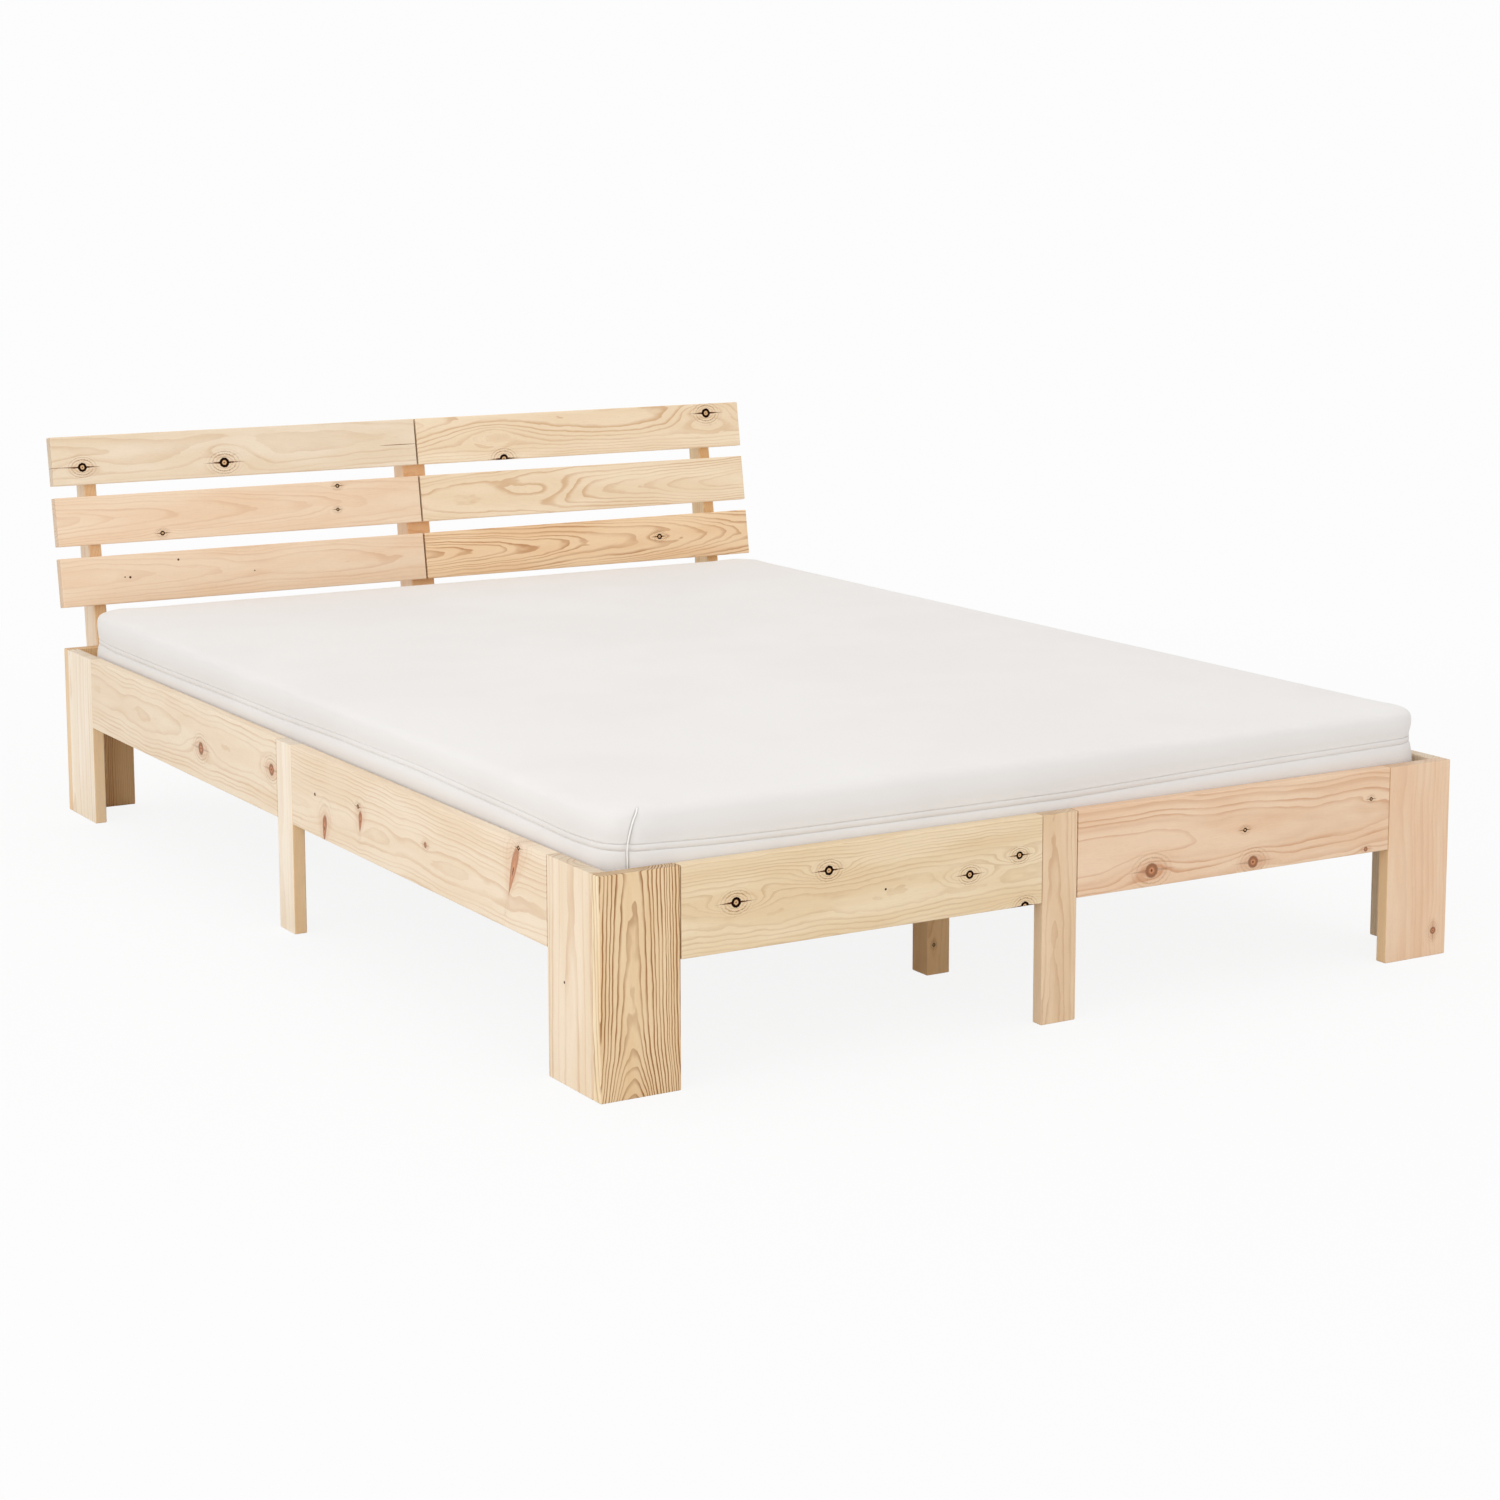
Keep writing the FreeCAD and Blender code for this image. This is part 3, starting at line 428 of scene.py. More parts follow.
def turned_place(g, order="xyz"):
    """Place in millimetres and normal, from the object's own with the axes in this order."""
    source = g.node("ShaderNodeTexCoord").outputs
    place = g.node("ShaderNodeVectorMath", {0: source["Object"], 3: 1 / MM}, operation="SCALE").outputs[0]
    if order == "xyz":
        return place, source["Normal"]
    parts, facing = g.split(place), g.split(source["Normal"])
    picked = ["xyz".index(axis) for axis in order]
    return g.join(*(parts[i] for i in picked)), g.join(*(facing[i] for i in picked))


def pine_material(name, timber, seed, ring, pith=(0, 30), tilt=0.0, bow=0.0, sway=5.0, contrast=0.55,
                  fade=0.0, knots=(), order="xyz", rough=0.50, edge_tone_and_shade=(1, 1, 1)):
    """Planed pine for one board, with its own rings and knots."""
    made, g, shader = new_material(name, {"Roughness": rough, "Specular IOR Level": PINE_SPECULAR})
    place, normal = turned_place(g, order)
    early, blotch, late = (srgb(*tone) for tone in TIMBERS[timber])
    flowing = place
    for along, across, radius, kind in knots:
        paint, long, lift = KNOT_KINDS[kind]
        tall = min(paint[0], 2.0) if paint else 1.0
        flowing = g.group(FLOW, {"Place": flowing, "Knot": (along, across, 0), "Radius": radius * tall,
                                 "Long": long / tall, "Lift": lift})[0]
    pine = g.group(PINE, {
        "Place": flowing, "Normal": normal, "Seed": seed, "Ring": ring, "Pith across": float(pith[0]),
        "Pith behind": float(pith[1]), "Tilt": tilt, "Bow": bow, "Sway": sway, "Contrast": contrast,
        "Fade": fade, "Early": early, "Blotch": blotch, "Late": late, "Edge tone and shade": edge_tone_and_shade})
    colour = pine["Colour"]
    for along, across, radius, kind in knots:
        paint = KNOT_KINDS[kind][0]
        if paint:
            colour = g.group(KNOT, {"Colour": colour, "Place": place, "Knot": (along, across, 0),
                                    "Radius": radius, **dict(zip(KNOT_SOCKETS, paint))})[0]
    g.feed(shader.inputs["Base Color"], colour)
    gloss = g.step(g.split(colour)[1], 0.0, DULL_BELOW, 0.0, PINE_SPECULAR)
    g.feed(shader.inputs["Specular IOR Level"], gloss)
    add_bump(g, shader, pine["Height"], 0.12)
    return made


# Boards: each stands for one CAD board and has its own piece of timber

UP = Vector((0, 0, 1))
OUTWARD = {"foot": Vector((0, -1, 0)), "head": Vector((0, 1, 0)),
           "left": Vector((-1, 0, 0)), "right": Vector((1, 0, 0))}


def smooth_mesh(name, shape):
    """The finished mesh of a bmesh."""
    mesh = bpy.data.meshes.new(name)
    shape.to_mesh(mesh)
    shape.free()
    mesh.shade_smooth()
    return mesh


def add_object(name, data):
    """A new object in the scene, of a mesh, lamp or camera."""
    made = bpy.data.objects.new(name, data)
    bpy.context.scene.collection.objects.link(made)
    return made


def rounded_board(name, long, wide, thick, end_edge):
    """A board along X with eased edges, its middle at the origin."""
    shape = bmesh.new()
    bmesh.ops.create_cube(shape, size=1.0)
    bmesh.ops.scale(shape, vec=(long, wide, thick), verts=shape.verts)
    along = [e for e in shape.edges if abs(e.verts[0].co.x - e.verts[1].co.x) > long / 2]
    bmesh.ops.bevel(shape, geom=along, offset=LONG_EDGE, segments=5, profile=0.5, affect="EDGES")
    rims = [e for e in shape.edges if abs(e.verts[0].co.x + e.verts[1].co.x) > long / 2]
    bmesh.ops.bevel(shape, geom=rims, offset=end_edge, segments=3, profile=0.5, affect="EDGES")
    bmesh.ops.recalc_face_normals(shape, faces=shape.faces)
    made = add_object(name, smooth_mesh(name, shape))
    made.modifiers.new("flat_faces", "WEIGHTED_NORMAL").weight = 100
    return made


def place_board(node, facing, upright, material, end_edge, sizes=None, middle=None):
    """A board in place of a CAD board: its grain upright or level, its face turned outward."""
    low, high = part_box(node)
    span = high - low
    middle = (low + high) / 2 if middle is None else middle
    grain = UP if upright else UP.cross(facing).normalized()
    across = facing.cross(grain)
    if sizes is None:
        sizes = [abs(span.dot(axis)) for axis in (grain, across, facing)]
        sizes[1 if upright else 0] -= 2 * JOINT_AIR
    board = rounded_board(node.replace("corner_", "") + "_board", *sizes, end_edge)
    board.matrix_world = Matrix.Translation(middle) @ Matrix((grain, across, facing)).transposed().to_4x4()
    board.data.materials.append(material)
    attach(board, "bed_frame")
    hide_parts(node)


# One row for each board: node, the way it faces, upright, then its timber. Knots: along, across, radius, kind.
# The edge tint is partly the tone of a board's edges, partly painted shade on edges that lie in shadow
BOARDS = (
    ("corner_leg_foot_left_end_plank", "foot", True, dict(
        timber="honey", seed=3.1, ring=3.6, pith=(12, 26), tilt=0.02, bow=-14.0, sway=2.0, contrast=3.0, fade=0.80,
        edge_tone_and_shade=(1.08, 1.19, 1.32))),
    ("corner_leg_foot_left_side_plank", "left", True, dict(
        timber="cream", seed=7.7, ring=11.0, pith=(-6, 26), tilt=0.02, sway=3.0, contrast=0.50,
        knots=((-11, 14, 1.8, "dot"),))),
    ("corner_leg_foot_right_end_plank", "foot", True, dict(
        timber="pink", seed=12.4, ring=6.0, pith=(60, 80), tilt=0.01, sway=3.0, contrast=0.20,
        edge_tone_and_shade=(1.0, 0.96, 0.80), knots=((-111, -34, 5.0, "red"),))),
    ("corner_leg_foot_right_side_plank", "right", True, dict(
        timber="cream", seed=15.2, ring=4.2, pith=(10, 35), tilt=0.02, contrast=0.5)),
    ("corner_leg_head_left_end_plank", "head", True, dict(
        timber="amber", seed=18.3, ring=3.4, pith=(-8, 30), tilt=-0.03, contrast=1.0,
        edge_tone_and_shade=(0.98, 1.08, 1.26))),
    ("corner_leg_head_left_side_plank", "left", True, dict(
        timber="white", seed=21.9, ring=9.0, pith=(50, 70), contrast=0.50, edge_tone_and_shade=(1.0, 0.84, 0.64))),
    ("corner_leg_head_right_end_plank", "head", True, dict(
        timber="yellow", seed=24.6, ring=4.0, pith=(0, 28), tilt=0.03, contrast=0.6)),
    ("corner_leg_head_right_side_plank", "right", True, dict(
        timber="pink", seed=27.1, ring=5.0, pith=(20, 30), contrast=0.45)),
    ("foot_rail_left", "foot", False, dict(
        timber="yellow", seed=31.5, ring=2.7, pith=(-14, 62), tilt=0.004, sway=5.0, contrast=0.50,
        knots=((-205, 3, 6.5, "ring"), (-62, 28, 6.0, "ring"), (165, -6, 5.5, "ring"),
               (248, 11, 5.0, "ring"), (258, -62, 6.0, "ring"), (28, -9, 1.5, "dot")))),
    ("foot_rail_right", "foot", False, dict(
        timber="pink", seed=35.8, ring=8.5, pith=(-4, 40), tilt=0.030, sway=7.0, contrast=0.64,
        knots=((-157, -39, 10.0, "red"), (28, -49, 8.5, "red"), (12, 0, 3.0, "ring"),
               (251, 19, 2.6, "ring"), (243, -56, 3.4, "red")))),
    ("head_rail_left", "head", False, dict(
        timber="cream", seed=38.2, ring=4.2, pith=(8, 40), tilt=0.02, contrast=0.5,
        knots=((120, 20, 7.0, "ring"), (-160, -24, 8.0, "red")))),
    ("head_rail_right", "head", False, dict(
        timber="yellow", seed=41.4, ring=5.0, pith=(-12, 34), tilt=-0.02, contrast=0.5,
        knots=((-80, -12, 8.0, "red"), (205, 30, 4.0, "ring")))),
    ("side_rail_left_foot", "left", False, dict(
        timber="cream", seed=44.7, ring=5.2, pith=(-20, 24), tilt=0.012, sway=7.0, contrast=0.50,
        knots=((-340, 2, 2.4, "dot"), (-305, -44, 6.5, "spike"), (-178, 13, 3.0, "ring"),
               (-171, -8, 5.0, "spike"), (56, 1, 4.0, "red"), (334, 20, 7.5, "wedge"),
               (351, 55, 3.0, "ring")))),
    ("side_rail_left_head", "left", False, dict(
        timber="cream", seed=48.3, ring=6.5, pith=(8, 30), tilt=0.010, sway=9.0, contrast=0.55,
        knots=((107, -8, 10.0, "red"), (412, 10, 9.0, "red")))),
    ("side_rail_right_foot", "right", False, dict(
        timber="pink", seed=51.6, ring=5.0, pith=(10, 34), tilt=0.012, contrast=0.5,
        knots=((-120, 18, 7.0, "ring"), (210, -30, 8.0, "red")))),
    ("side_rail_right_head", "right", False, dict(
        timber="cream", seed=54.9, ring=5.6, pith=(-14, 40), tilt=0.014, contrast=0.5,
        knots=((60, 24, 6.5, "ring"), (-280, -10, 7.0, "ring")))),
    ("mid_leg_foot", "foot", True, dict(
        timber="tan", seed=58.2, ring=4.6, pith=(10, 26), tilt=0.02, sway=4.0, contrast=0.45)),
    ("mid_leg_head", "head", True, dict(timber="cream", seed=61.5, ring=4.4, pith=(6, 30), contrast=0.5)),
    ("mid_leg_left", "left", True, dict(
        timber="white", seed=64.8, ring=7.0, pith=(20, 50), contrast=0.25, edge_tone_and_shade=(1.0, 0.82, 0.60))),
    ("mid_leg_right", "right", True, dict(timber="yellow", seed=68.1, ring=4.8, pith=(-8, 30), contrast=0.5)),
)

HEADBOARD_TIMBERS = {
    "upper_left": dict(
        timber="cream", seed=72.4, ring=7.0, pith=(10, 32), tilt=0.022, sway=6.0, contrast=0.42,
        knots=((-31, 4, 13.0, "swirl"), (-305, -13, 7.5, "ring"), (-31, -19, 8.5, "ring"),
               (326, -4, 38.0, "check"), (-342, -12, 30.0, "check"))),
    "upper_right": dict(
        timber="flax", seed=75.7, ring=4.4, pith=(26, 36), tilt=0.010, sway=3.5, contrast=0.74,
        knots=((-204, -2, 17.0, "swirl"), (290, 2, 13.0, "swirl"), (286, 25, 8.5, "ring"),
               (-178, -43, 8.0, "ring"))),
    "middle_left": dict(
        timber="peach", seed=79.3, ring=5.5, pith=(2, 22), tilt=0.050, sway=5.0, contrast=0.38,
        knots=((192, 35, 3.6, "ring"), (189, -10, 3.0, "ring"), (-163, -32, 4.0, "ring"))),
    "middle_right": dict(
        timber="flax", seed=82.6, ring=4.6, pith=(-4, 26), tilt=-0.05, sway=6.0, contrast=0.66,
        knots=((-114, 5, 15.0, "swirl"),)),
    "lower_left": dict(
        timber="peach", seed=85.9, ring=5.0, pith=(4, 28), tilt=0.020, sway=7.0, contrast=0.38,
        knots=((-232, 2, 2.0, "dot"), (-242, 3, 1.2, "dot"), (-137, 28, 1.8, "dot"), (11, -3, 1.2, "dot"))),
    "lower_right": dict(
        timber="ochre", seed=89.2, ring=4.2, pith=(2, 26), tilt=0.060, sway=6.0, contrast=0.95,
        knots=((155, 3, 5.0, "ring"),)),
}


def make_frame_boards():
    """The legs and rails."""
    for node, side, upright, timber in BOARDS:
        edge = LEG_END_EDGE if upright else RAIL_END_EDGE
        place_board(node, OUTWARD[side], upright, pine_material(node + "_pine", **timber), edge)


def make_centre_legs():
    """The two square legs under the middle beam, as far as they show."""
    for seed, end in ((92.5, "foot"), (95.8, "head")):
        node = f"centre_leg_{end}"
        low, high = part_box(node)
        middle = (low + high) / 2
        middle.z = low.z + CENTRE_LEG_SHOWN / 2
        sizes = (CENTRE_LEG_SHOWN, high.x - low.x, high.y - low.y)
        timber = pine_material(node + "_pine", "amber", seed, ring=3.0, pith=(14, 24), contrast=0.4,
                               knots=((-36, 8, 2.4, "ring"),) if end == "foot" else ())
        place_board(node, OUTWARD["foot"], True, timber, LEG_END_EDGE, sizes, middle)


def make_headboard_slats():
    """Six slats, which lean back with the front of the posts."""
    lean = math.radians(HEADBOARD_LEAN)
    facing = Vector((0, -math.cos(lean), math.sin(lean)))
    for place, timber in HEADBOARD_TIMBERS.items():
        node = f"headboard_slat_{place}"
        low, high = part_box(node)
        place_board(node, facing, False, pine_material(node + "_pine", **timber), LEG_END_EDGE,
                    (high.x - low.x, SLAT_WIDE, BOARD_THICK))


def cover_node(node, material):
    """A CAD part keeps its shape and gets a better material."""
    slots = nodes[node].data.materials
    slots.clear()
    slots.append(material)


def metal_material():
    """Zinc-plated steel, with the faint clouding of the plating."""
    made, g, shader = new_material("zinc_plate", {"Metallic": 1.0})
    place, _ = turned_place(g)
    cloud = g.noise(place, detail=3.0, scale=0.35)
    g.feed(shader.inputs["Base Color"], g.mix(cloud, srgb(196, 198, 200), srgb(158, 161, 166)))
    g.feed(shader.inputs["Roughness"], g.step(cloud, 0.2, 0.8, 0.28, 0.42))
    return made


def tape_material():
    """Woven cotton tape."""
    made, g, shader = new_material("cotton_tape", {"Roughness": 0.9})
    place, _ = turned_place(g)
    x, y, _ = g.split(place)
    weave = g.mul(g.math("SINE", g.mul(x, 5.0)), g.math("SINE", g.mul(y, 5.0)))
    g.feed(shader.inputs["Base Color"], g.mix(g.step(weave, -1, 1), srgb(208, 198, 178), srgb(228, 220, 202)))
    add_bump(g, shader, weave, 0.2)
    return made


# Roughness of the timber inside the bed, which isn't sanded
ROUGH_SAWN = 0.62


def cover_kept_nodes():
    """Materials for the CAD parts that keep their shape: posts, timber inside the bed, fasteners and tapes."""
    # The posts' edge tint is painted shade: their fronts lie in the slats' shadow
    posts = {"left": (101.2, "cream"), "centre": (104.5, "peach"), "right": (107.8, "yellow")}
    for place, (seed, timber) in posts.items():
        node = f"headboard_post_{place}"
        cover_node(node, pine_material(node + "_pine", timber, seed, ring=3.4, pith=(20, 30), tilt=0.02,
                                       contrast=1.1, order="zyx", edge_tone_and_shade=(0.98, 0.80, 0.59)))
    inner = {"ledger_foot": "xzy", "ledger_head": "xzy", "ledger_left": "yzx", "ledger_right": "yzx",
             "centre_beam": "yzx"}
    for count, (node, order) in enumerate(inner.items()):
        cover_node(node, pine_material(node + "_pine", "yellow", 111.1 + 3.3 * count, ring=3.6,
                                       pith=(-180, 26), contrast=0.6, order=order, rough=ROUGH_SAWN))
    for count, node in enumerate(sorted(n for n in nodes if n.startswith("base_slat_"))):
        low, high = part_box(node)
        across = (low.y + high.y) / 2 / MM + 16 * math.sin(2.3 * count)
        cover_node(node, pine_material(node + "_pine", ("cream", "yellow", "pink")[count % 3],
                                       131.7 + 2.9 * count, ring=3.8, pith=(across, -200 + 5 * (count % 4)),
                                       rough=ROUGH_SAWN))
    cover_node("joint_tongues", pine_material("tongue_beech", "tan", 171.3, ring=1.6, contrast=0.3))
    metal = metal_material()
    for node in ("headboard_slat_screws", "headboard_bolts", "headboard_nuts"):
        cover_node(node, metal)
    cover_node("base_tapes", tape_material())


# Mattress

# Rings up the cover's side, from the bottom: share of the height, share of the draw-in
SIDE_SHARES = (
    (0.00, 1.60), (0.02, 0.95), (0.06, 0.36), (0.12, 0.10), (0.20, 0.00), (0.30, 0.00), (0.40, 0.08),
    (0.48, 0.26), (0.53, 0.44), (0.549, 0.50), (0.554, 0.88), (0.621, 0.88), (0.626, 0.50), (0.65, 0.42),
    (0.70, 0.20), (0.76, 0.05), (0.83, 0.00), (0.895, 0.06), (0.935, 0.22), (0.965, 0.54), (0.988, 1.00),
    (1.00, 1.75),
)
ZIP_RINGS = (10, 11)
CHANNEL_RINGS = (9, 10, 11, 12)

# Rings up the foam block's side, from the bottom: height, distance inside the cover's widest line, in millimetres
FOAM_RINGS = (
    (3, 26), (5, 18), (10, 14), (22, 13), (60, 13), (100, 13), (115, 14), (122, 16), (127, 21), (130, 30),
)

# Spacing of the cover's grid, and its lines in each rounded corner
PANEL_STEP = 24 * MM
CORNER_STEPS = 4

# The cloth simulation's length, and the most that it may move the cover
SWELL_FRAMES = 20
MOST_SWELL = 3 * MM

# Unevenness of the cover: waves per metre and strength, slow and fine. It moves the sides this near to their
# widest line. Above this share of the height it also moves the cover up, by this share of itself
SLOW_WAVES, SLOW_PULL = 5.0, 1.0 * MM
FINE_WAVES, FINE_PULL = 15, 0.4 * MM
UNEVEN_DEPTH = 20 * MM
UNEVEN_TOP = 0.9
TOP_PULL = 0.6

# How the zip's line wanders from level along the ends and the sides: share of the half length, millimetres up
ZIP_ALONG_ENDS = (
    (-1, 4), (-0.9, 2), (-0.77, -2), (-0.6, -4), (0.05, -4), (0.3, 1), (0.45, 4), (0.67, 7), (1, 11),
)
ZIP_ALONG_SIDES = ((-0.9, 1), (-0.67, 7), (-0.41, 11), (-0.13, 9), (0.11, 4), (0.37, 3), (0.6, 0))
MATTRESS_LOW, MATTRESS_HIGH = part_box("mattress_cover")
HALF_WIDE = (MATTRESS_HIGH.x - MATTRESS_LOW.x) / 2
HALF_LONG = (MATTRESS_HIGH.y - MATTRESS_LOW.y) / 2
TALL = MATTRESS_HIGH.z - MATTRESS_LOW.z - CROWN
MATTRESS_PLACE = Vector((0, (MATTRESS_LOW.y + MATTRESS_HIGH.y) / 2, MATTRESS_LOW.z))


def stations(half, full_half, radius):
    """Grid lines across a panel: a few in each rounded corner, the rest evenly between."""
    pieces = round(2 * (full_half - CORNER_RADIUS) / PANEL_STEP)
    corner = [half - radius * (1 - count / CORNER_STEPS) for count in range(1, CORNER_STEPS + 1)]
    straight = [(half - radius) * (2 * count / pieces - 1) for count in range(pieces + 1)]
    return [-place for place in reversed(corner)] + straight + corner


def panel_points(inset):
    """A grid of points that fills a rounded rectangle, its border drawn in by an inset."""
    wide, long, radius = HALF_WIDE - inset, HALF_LONG - inset, CORNER_RADIUS - inset
    rows = []
    for y in stations(long, HALF_LONG, radius):
        row = []
        for x in stations(wide, HALF_WIDE, radius):
            over = Vector((max(abs(x) - wide + radius, 0), max(abs(y) - long + radius, 0)))
            place = (x, y)
            if over.x > 0 and over.y > 0:
                over *= max(over) / over.length
                place = (math.copysign(wide - radius + over.x, x), math.copysign(long - radius + over.y, y))
            row.append(place)
        rows.append(row)
    return rows


def bridge(shape, first, second):
    """Quads between two closed rings of vertices."""
    for count, _ in enumerate(first):
        after = (count + 1) % len(first)
        shape.faces.new((first[count], first[after], second[after], second[count]))


def border_of(rows):
    """The outer ring of a grid, once round."""
    inner = rows[1:-1]
    return rows[0] + [row[-1] for row in inner] + rows[-1][::-1] + [row[0] for row in reversed(inner)]


def crown_rise(x, y):
    """How far the top stands above its border."""
    edge = min(HALF_WIDE - abs(x), HALF_LONG - abs(y)) - DRAW_IN
    share = min(max(edge / (CROWN_REACH * HALF_WIDE), 0), 1)
    return CROWN * share * (2 - share)


def skin_mesh(name, levels):
    """One closed skin of quads up rings of height and inset. Gives the mesh and each ring's vertex numbers."""
    shape = bmesh.new()
    panels = []
    for height, inset in (levels[0], levels[-1]):
        crowned = height > TALL / 2
        grid = [[shape.verts.new((x, y, height + (crown_rise(x, y) if crowned else 0))) for x, y in row]
                for row in panel_points(inset)]
        for low, high in zip(grid, grid[1:]):
            for count in range(len(low) - 1):
                corners = (low[count], low[count + 1], high[count + 1], high[count])
                shape.faces.new(corners if crowned else corners[::-1])
        panels.append(border_of(grid))
    rings = [panels[0]]
    for height, inset in levels[1:-1]:
        rings.append([shape.verts.new((x, y, height)) for x, y in border_of(panel_points(inset))])
    rings.append(panels[1])
    for low, high in zip(rings, rings[1:]):
        bridge(shape, low, high)
    shape.verts.index_update()
    numbers = [[v.index for v in ring] for ring in rings]
    return smooth_mesh(name, shape), numbers


def swell(cover, numbers):
    """Inflates the cover a little above and below its zip, as a knit sits on its foam."""
    rest = np.empty(len(cover.data.vertices) * 3)
    cover.data.vertices.foreach_get("co", rest)
    rest = rest.reshape(-1, 3)
    held = cover.vertex_groups.new(name="held")
    held.add([n for ring in CHANNEL_RINGS for n in numbers[ring]], 1.0, "REPLACE")
    held.add(numbers[0], 1.0, "REPLACE")
    cloth = cover.modifiers.new("cloth", "CLOTH")
    knit = cloth.settings
    knit.quality = 4
    knit.mass = 0.3
    knit.use_pressure = True
    knit.uniform_pressure_force = 4.0
    knit.effector_weights.gravity = 0
    knit.vertex_group_mass = "held"
    knit.tension_stiffness = knit.compression_stiffness = 25
    knit.bending_stiffness = 2.0
    cloth.collision_settings.use_collision = False
    cloth.point_cache.frame_start, cloth.point_cache.frame_end = 1, SWELL_FRAMES
    scene = bpy.context.scene
    for number in range(1, SWELL_FRAMES + 1):
        scene.frame_set(number)
    shown = cover.evaluated_get(bpy.context.evaluated_depsgraph_get())
    blown = np.empty(rest.size)
    shown.data.vertices.foreach_get("co", blown)
    scene.frame_set(1)
    cover.modifiers.remove(cloth)
    move = blown.reshape(-1, 3) - rest
    length = np.linalg.norm(move, axis=1, keepdims=True)
    move *= MOST_SWELL * np.tanh(length / MOST_SWELL) / np.maximum(length, 1e-9)
    cover.data.vertices.foreach_set("co", (rest + move).ravel())


def zip_rise(place):
    """How far the side of the cover is pulled up or down, most of all at its zip."""
    on_end = np.interp(place.x / HALF_WIDE, *zip(*ZIP_ALONG_ENDS))
    on_side = np.interp(place.y / HALF_LONG, *zip(*ZIP_ALONG_SIDES))
    share = min(max((abs(place.y) - HALF_LONG) / CORNER_RADIUS + 2, 0), 1)
    return (on_side + (on_end - on_side) * share) * math.sin(math.pi * min(place.z / TALL, 1)) * MM


def settle(cover):
    """Slow unevenness, as in a cover that was pulled on by hand, and the box the CAD gives as its limit."""
    low = MATTRESS_LOW - MATTRESS_PLACE
    high = MATTRESS_HIGH - MATTRESS_PLACE
    for vertex in cover.data.vertices:
        place = vertex.co
        lean = noise.noise(place * SLOW_WAVES) * SLOW_PULL
        lean += noise.noise(place * FINE_WAVES + Vector((5, 1, 9))) * FINE_PULL
        if place.z > 0:
            place.z += zip_rise(place)
            for axis, half in enumerate((HALF_WIDE, HALF_LONG)):
                if abs(place[axis]) > half - UNEVEN_DEPTH:
                    place[axis] += math.copysign(lean, place[axis])
        if place.z > UNEVEN_TOP * TALL:
            place.z += TOP_PULL * lean
        for axis in range(3):
            place[axis] = min(max(place[axis], low[axis]), high[axis])


# The cover's two upright seams, just round two opposite corners, on the foot and head: a cord in a groove. The
# groove is pulled in, the cord stands proud of it, and over its last share of the height it sinks back in
CORD_SIDES = 10
SEAM_RADIUS = 1.15 * MM
SEAM_PULL = 4.0 * MM
SEAM_PROUD = 3.4 * MM
SEAM_END = 0.06

# A seam's way out from its corner's centre, X to Y. Above the zip's share of the height it leans away from its
# corner, and this share of the lean is a hook at the top
SEAM_ASIDE = 0.5
ZIP_SHARE = 0.6
SEAM_LEAN = 0.40
SEAM_HOOK = 0.45
HOOK_POWER = 6.0

# The groove beside an upright seam, in millimetres: how far aside it is full and ends, how far out from its
# corner's centre it sets in. Then the painted shade in the groove: its colour, of which this share is mixed in
GROOVE_ASIDE = (1.2, 4.0)
GROOVE_FROM = (38.0, 46.0)
GROOVE_SHADE_COLOUR = srgb(168, 164, 160)
GROOVE_SHADE_SHARE = 0.55


def seam_groove(g, place):
    """How deep a point lies in the groove beside a corner seam, 0 to 1, as the mask of the painted shade there."""
    x, y, z = g.split(place)
    rise = g.math("MAXIMUM", g.sub(g.mul(z, MM / TALL / (1 - ZIP_SHARE)), ZIP_SHARE / (1 - ZIP_SHARE)), 0.0)
    bend = g.add(g.mul(rise, 1 - SEAM_HOOK), g.mul(g.math("POWER", rise, HOOK_POWER), SEAM_HOOK))
    across = g.sub(SEAM_ASIDE, g.mul(bend, SEAM_LEAN))
    seamed_corner = g.math("GREATER_THAN", g.mul(x, y), 0.0)
    x = g.sub(g.math("ABSOLUTE", x), (HALF_WIDE - CORNER_RADIUS) / MM)
    y = g.sub(g.math("ABSOLUTE", y), (HALF_LONG - CORNER_RADIUS) / MM)
    aside = g.math("ABSOLUTE", g.sub(x, g.mul(y, across)))
    return g.mul(seamed_corner, g.step(aside, *GROOVE_ASIDE, 1.0, 0.0), g.step(y, *GROOVE_FROM))


def fabric_material(name, light, shade, relief, seamed=False):
    """Undyed jersey, with painted shade in the grooves beside its seams."""
    made, g, shader = new_material(name, {"Roughness": 0.95, "Specular IOR Level": 0.2,
                                          "Sheen Weight": 0.15, "Sheen Roughness": 0.5})
    place, _ = turned_place(g)
    cloth = g.group(JERSEY, {"Place": place, "Light": light, "Shade": shade})
    colour = cloth["Colour"]
    if seamed:
        # Painted shade: the jersey is darkened in the grooves beside the corner seams
        colour = g.mix(g.mul(seam_groove(g, place), GROOVE_SHADE_SHARE), colour, GROOVE_SHADE_COLOUR)
    g.feed(shader.inputs["Base Color"], colour)
    add_bump(g, shader, cloth["Height"], relief)
    return made


def strip_along(name, points, outward, aside, section, closed):
    """A band or cord swept along points: its section is offsets outward and aside, in metres."""
    shape = bmesh.new()
    rows = []
    for place, out, side in zip(points, outward, aside):
        rows.append([shape.verts.new(place + out * proud + side * over) for proud, over in section])
    for first, second in zip(rows, rows[1:] + (rows[:1] if closed else [])):
        bridge(shape, first, second)
    if not closed:
        shape.faces.new(rows[0])
        shape.faces.new(rows[-1][::-1])
    bmesh.ops.recalc_face_normals(shape, faces=shape.faces)
    return add_object(name, smooth_mesh(name, shape))


def ring_normals(points):
    """Level outward directions round a closed ring."""
    found = []
    for count, _ in enumerate(points):
        along = points[(count + 1) % len(points)] - points[count - 1]
        normal = Vector((along.y, -along.x, 0)).normalized()
        found.append(normal if normal.dot(points[count] * Vector((1, 1, 0))) > 0 else -normal)
    return found


def round_section(radius):
    """A cord's section."""
    turns = [2 * math.pi * count / CORD_SIDES for count in range(CORD_SIDES)]
    return [(radius * math.cos(turn), radius * math.sin(turn)) for turn in turns]


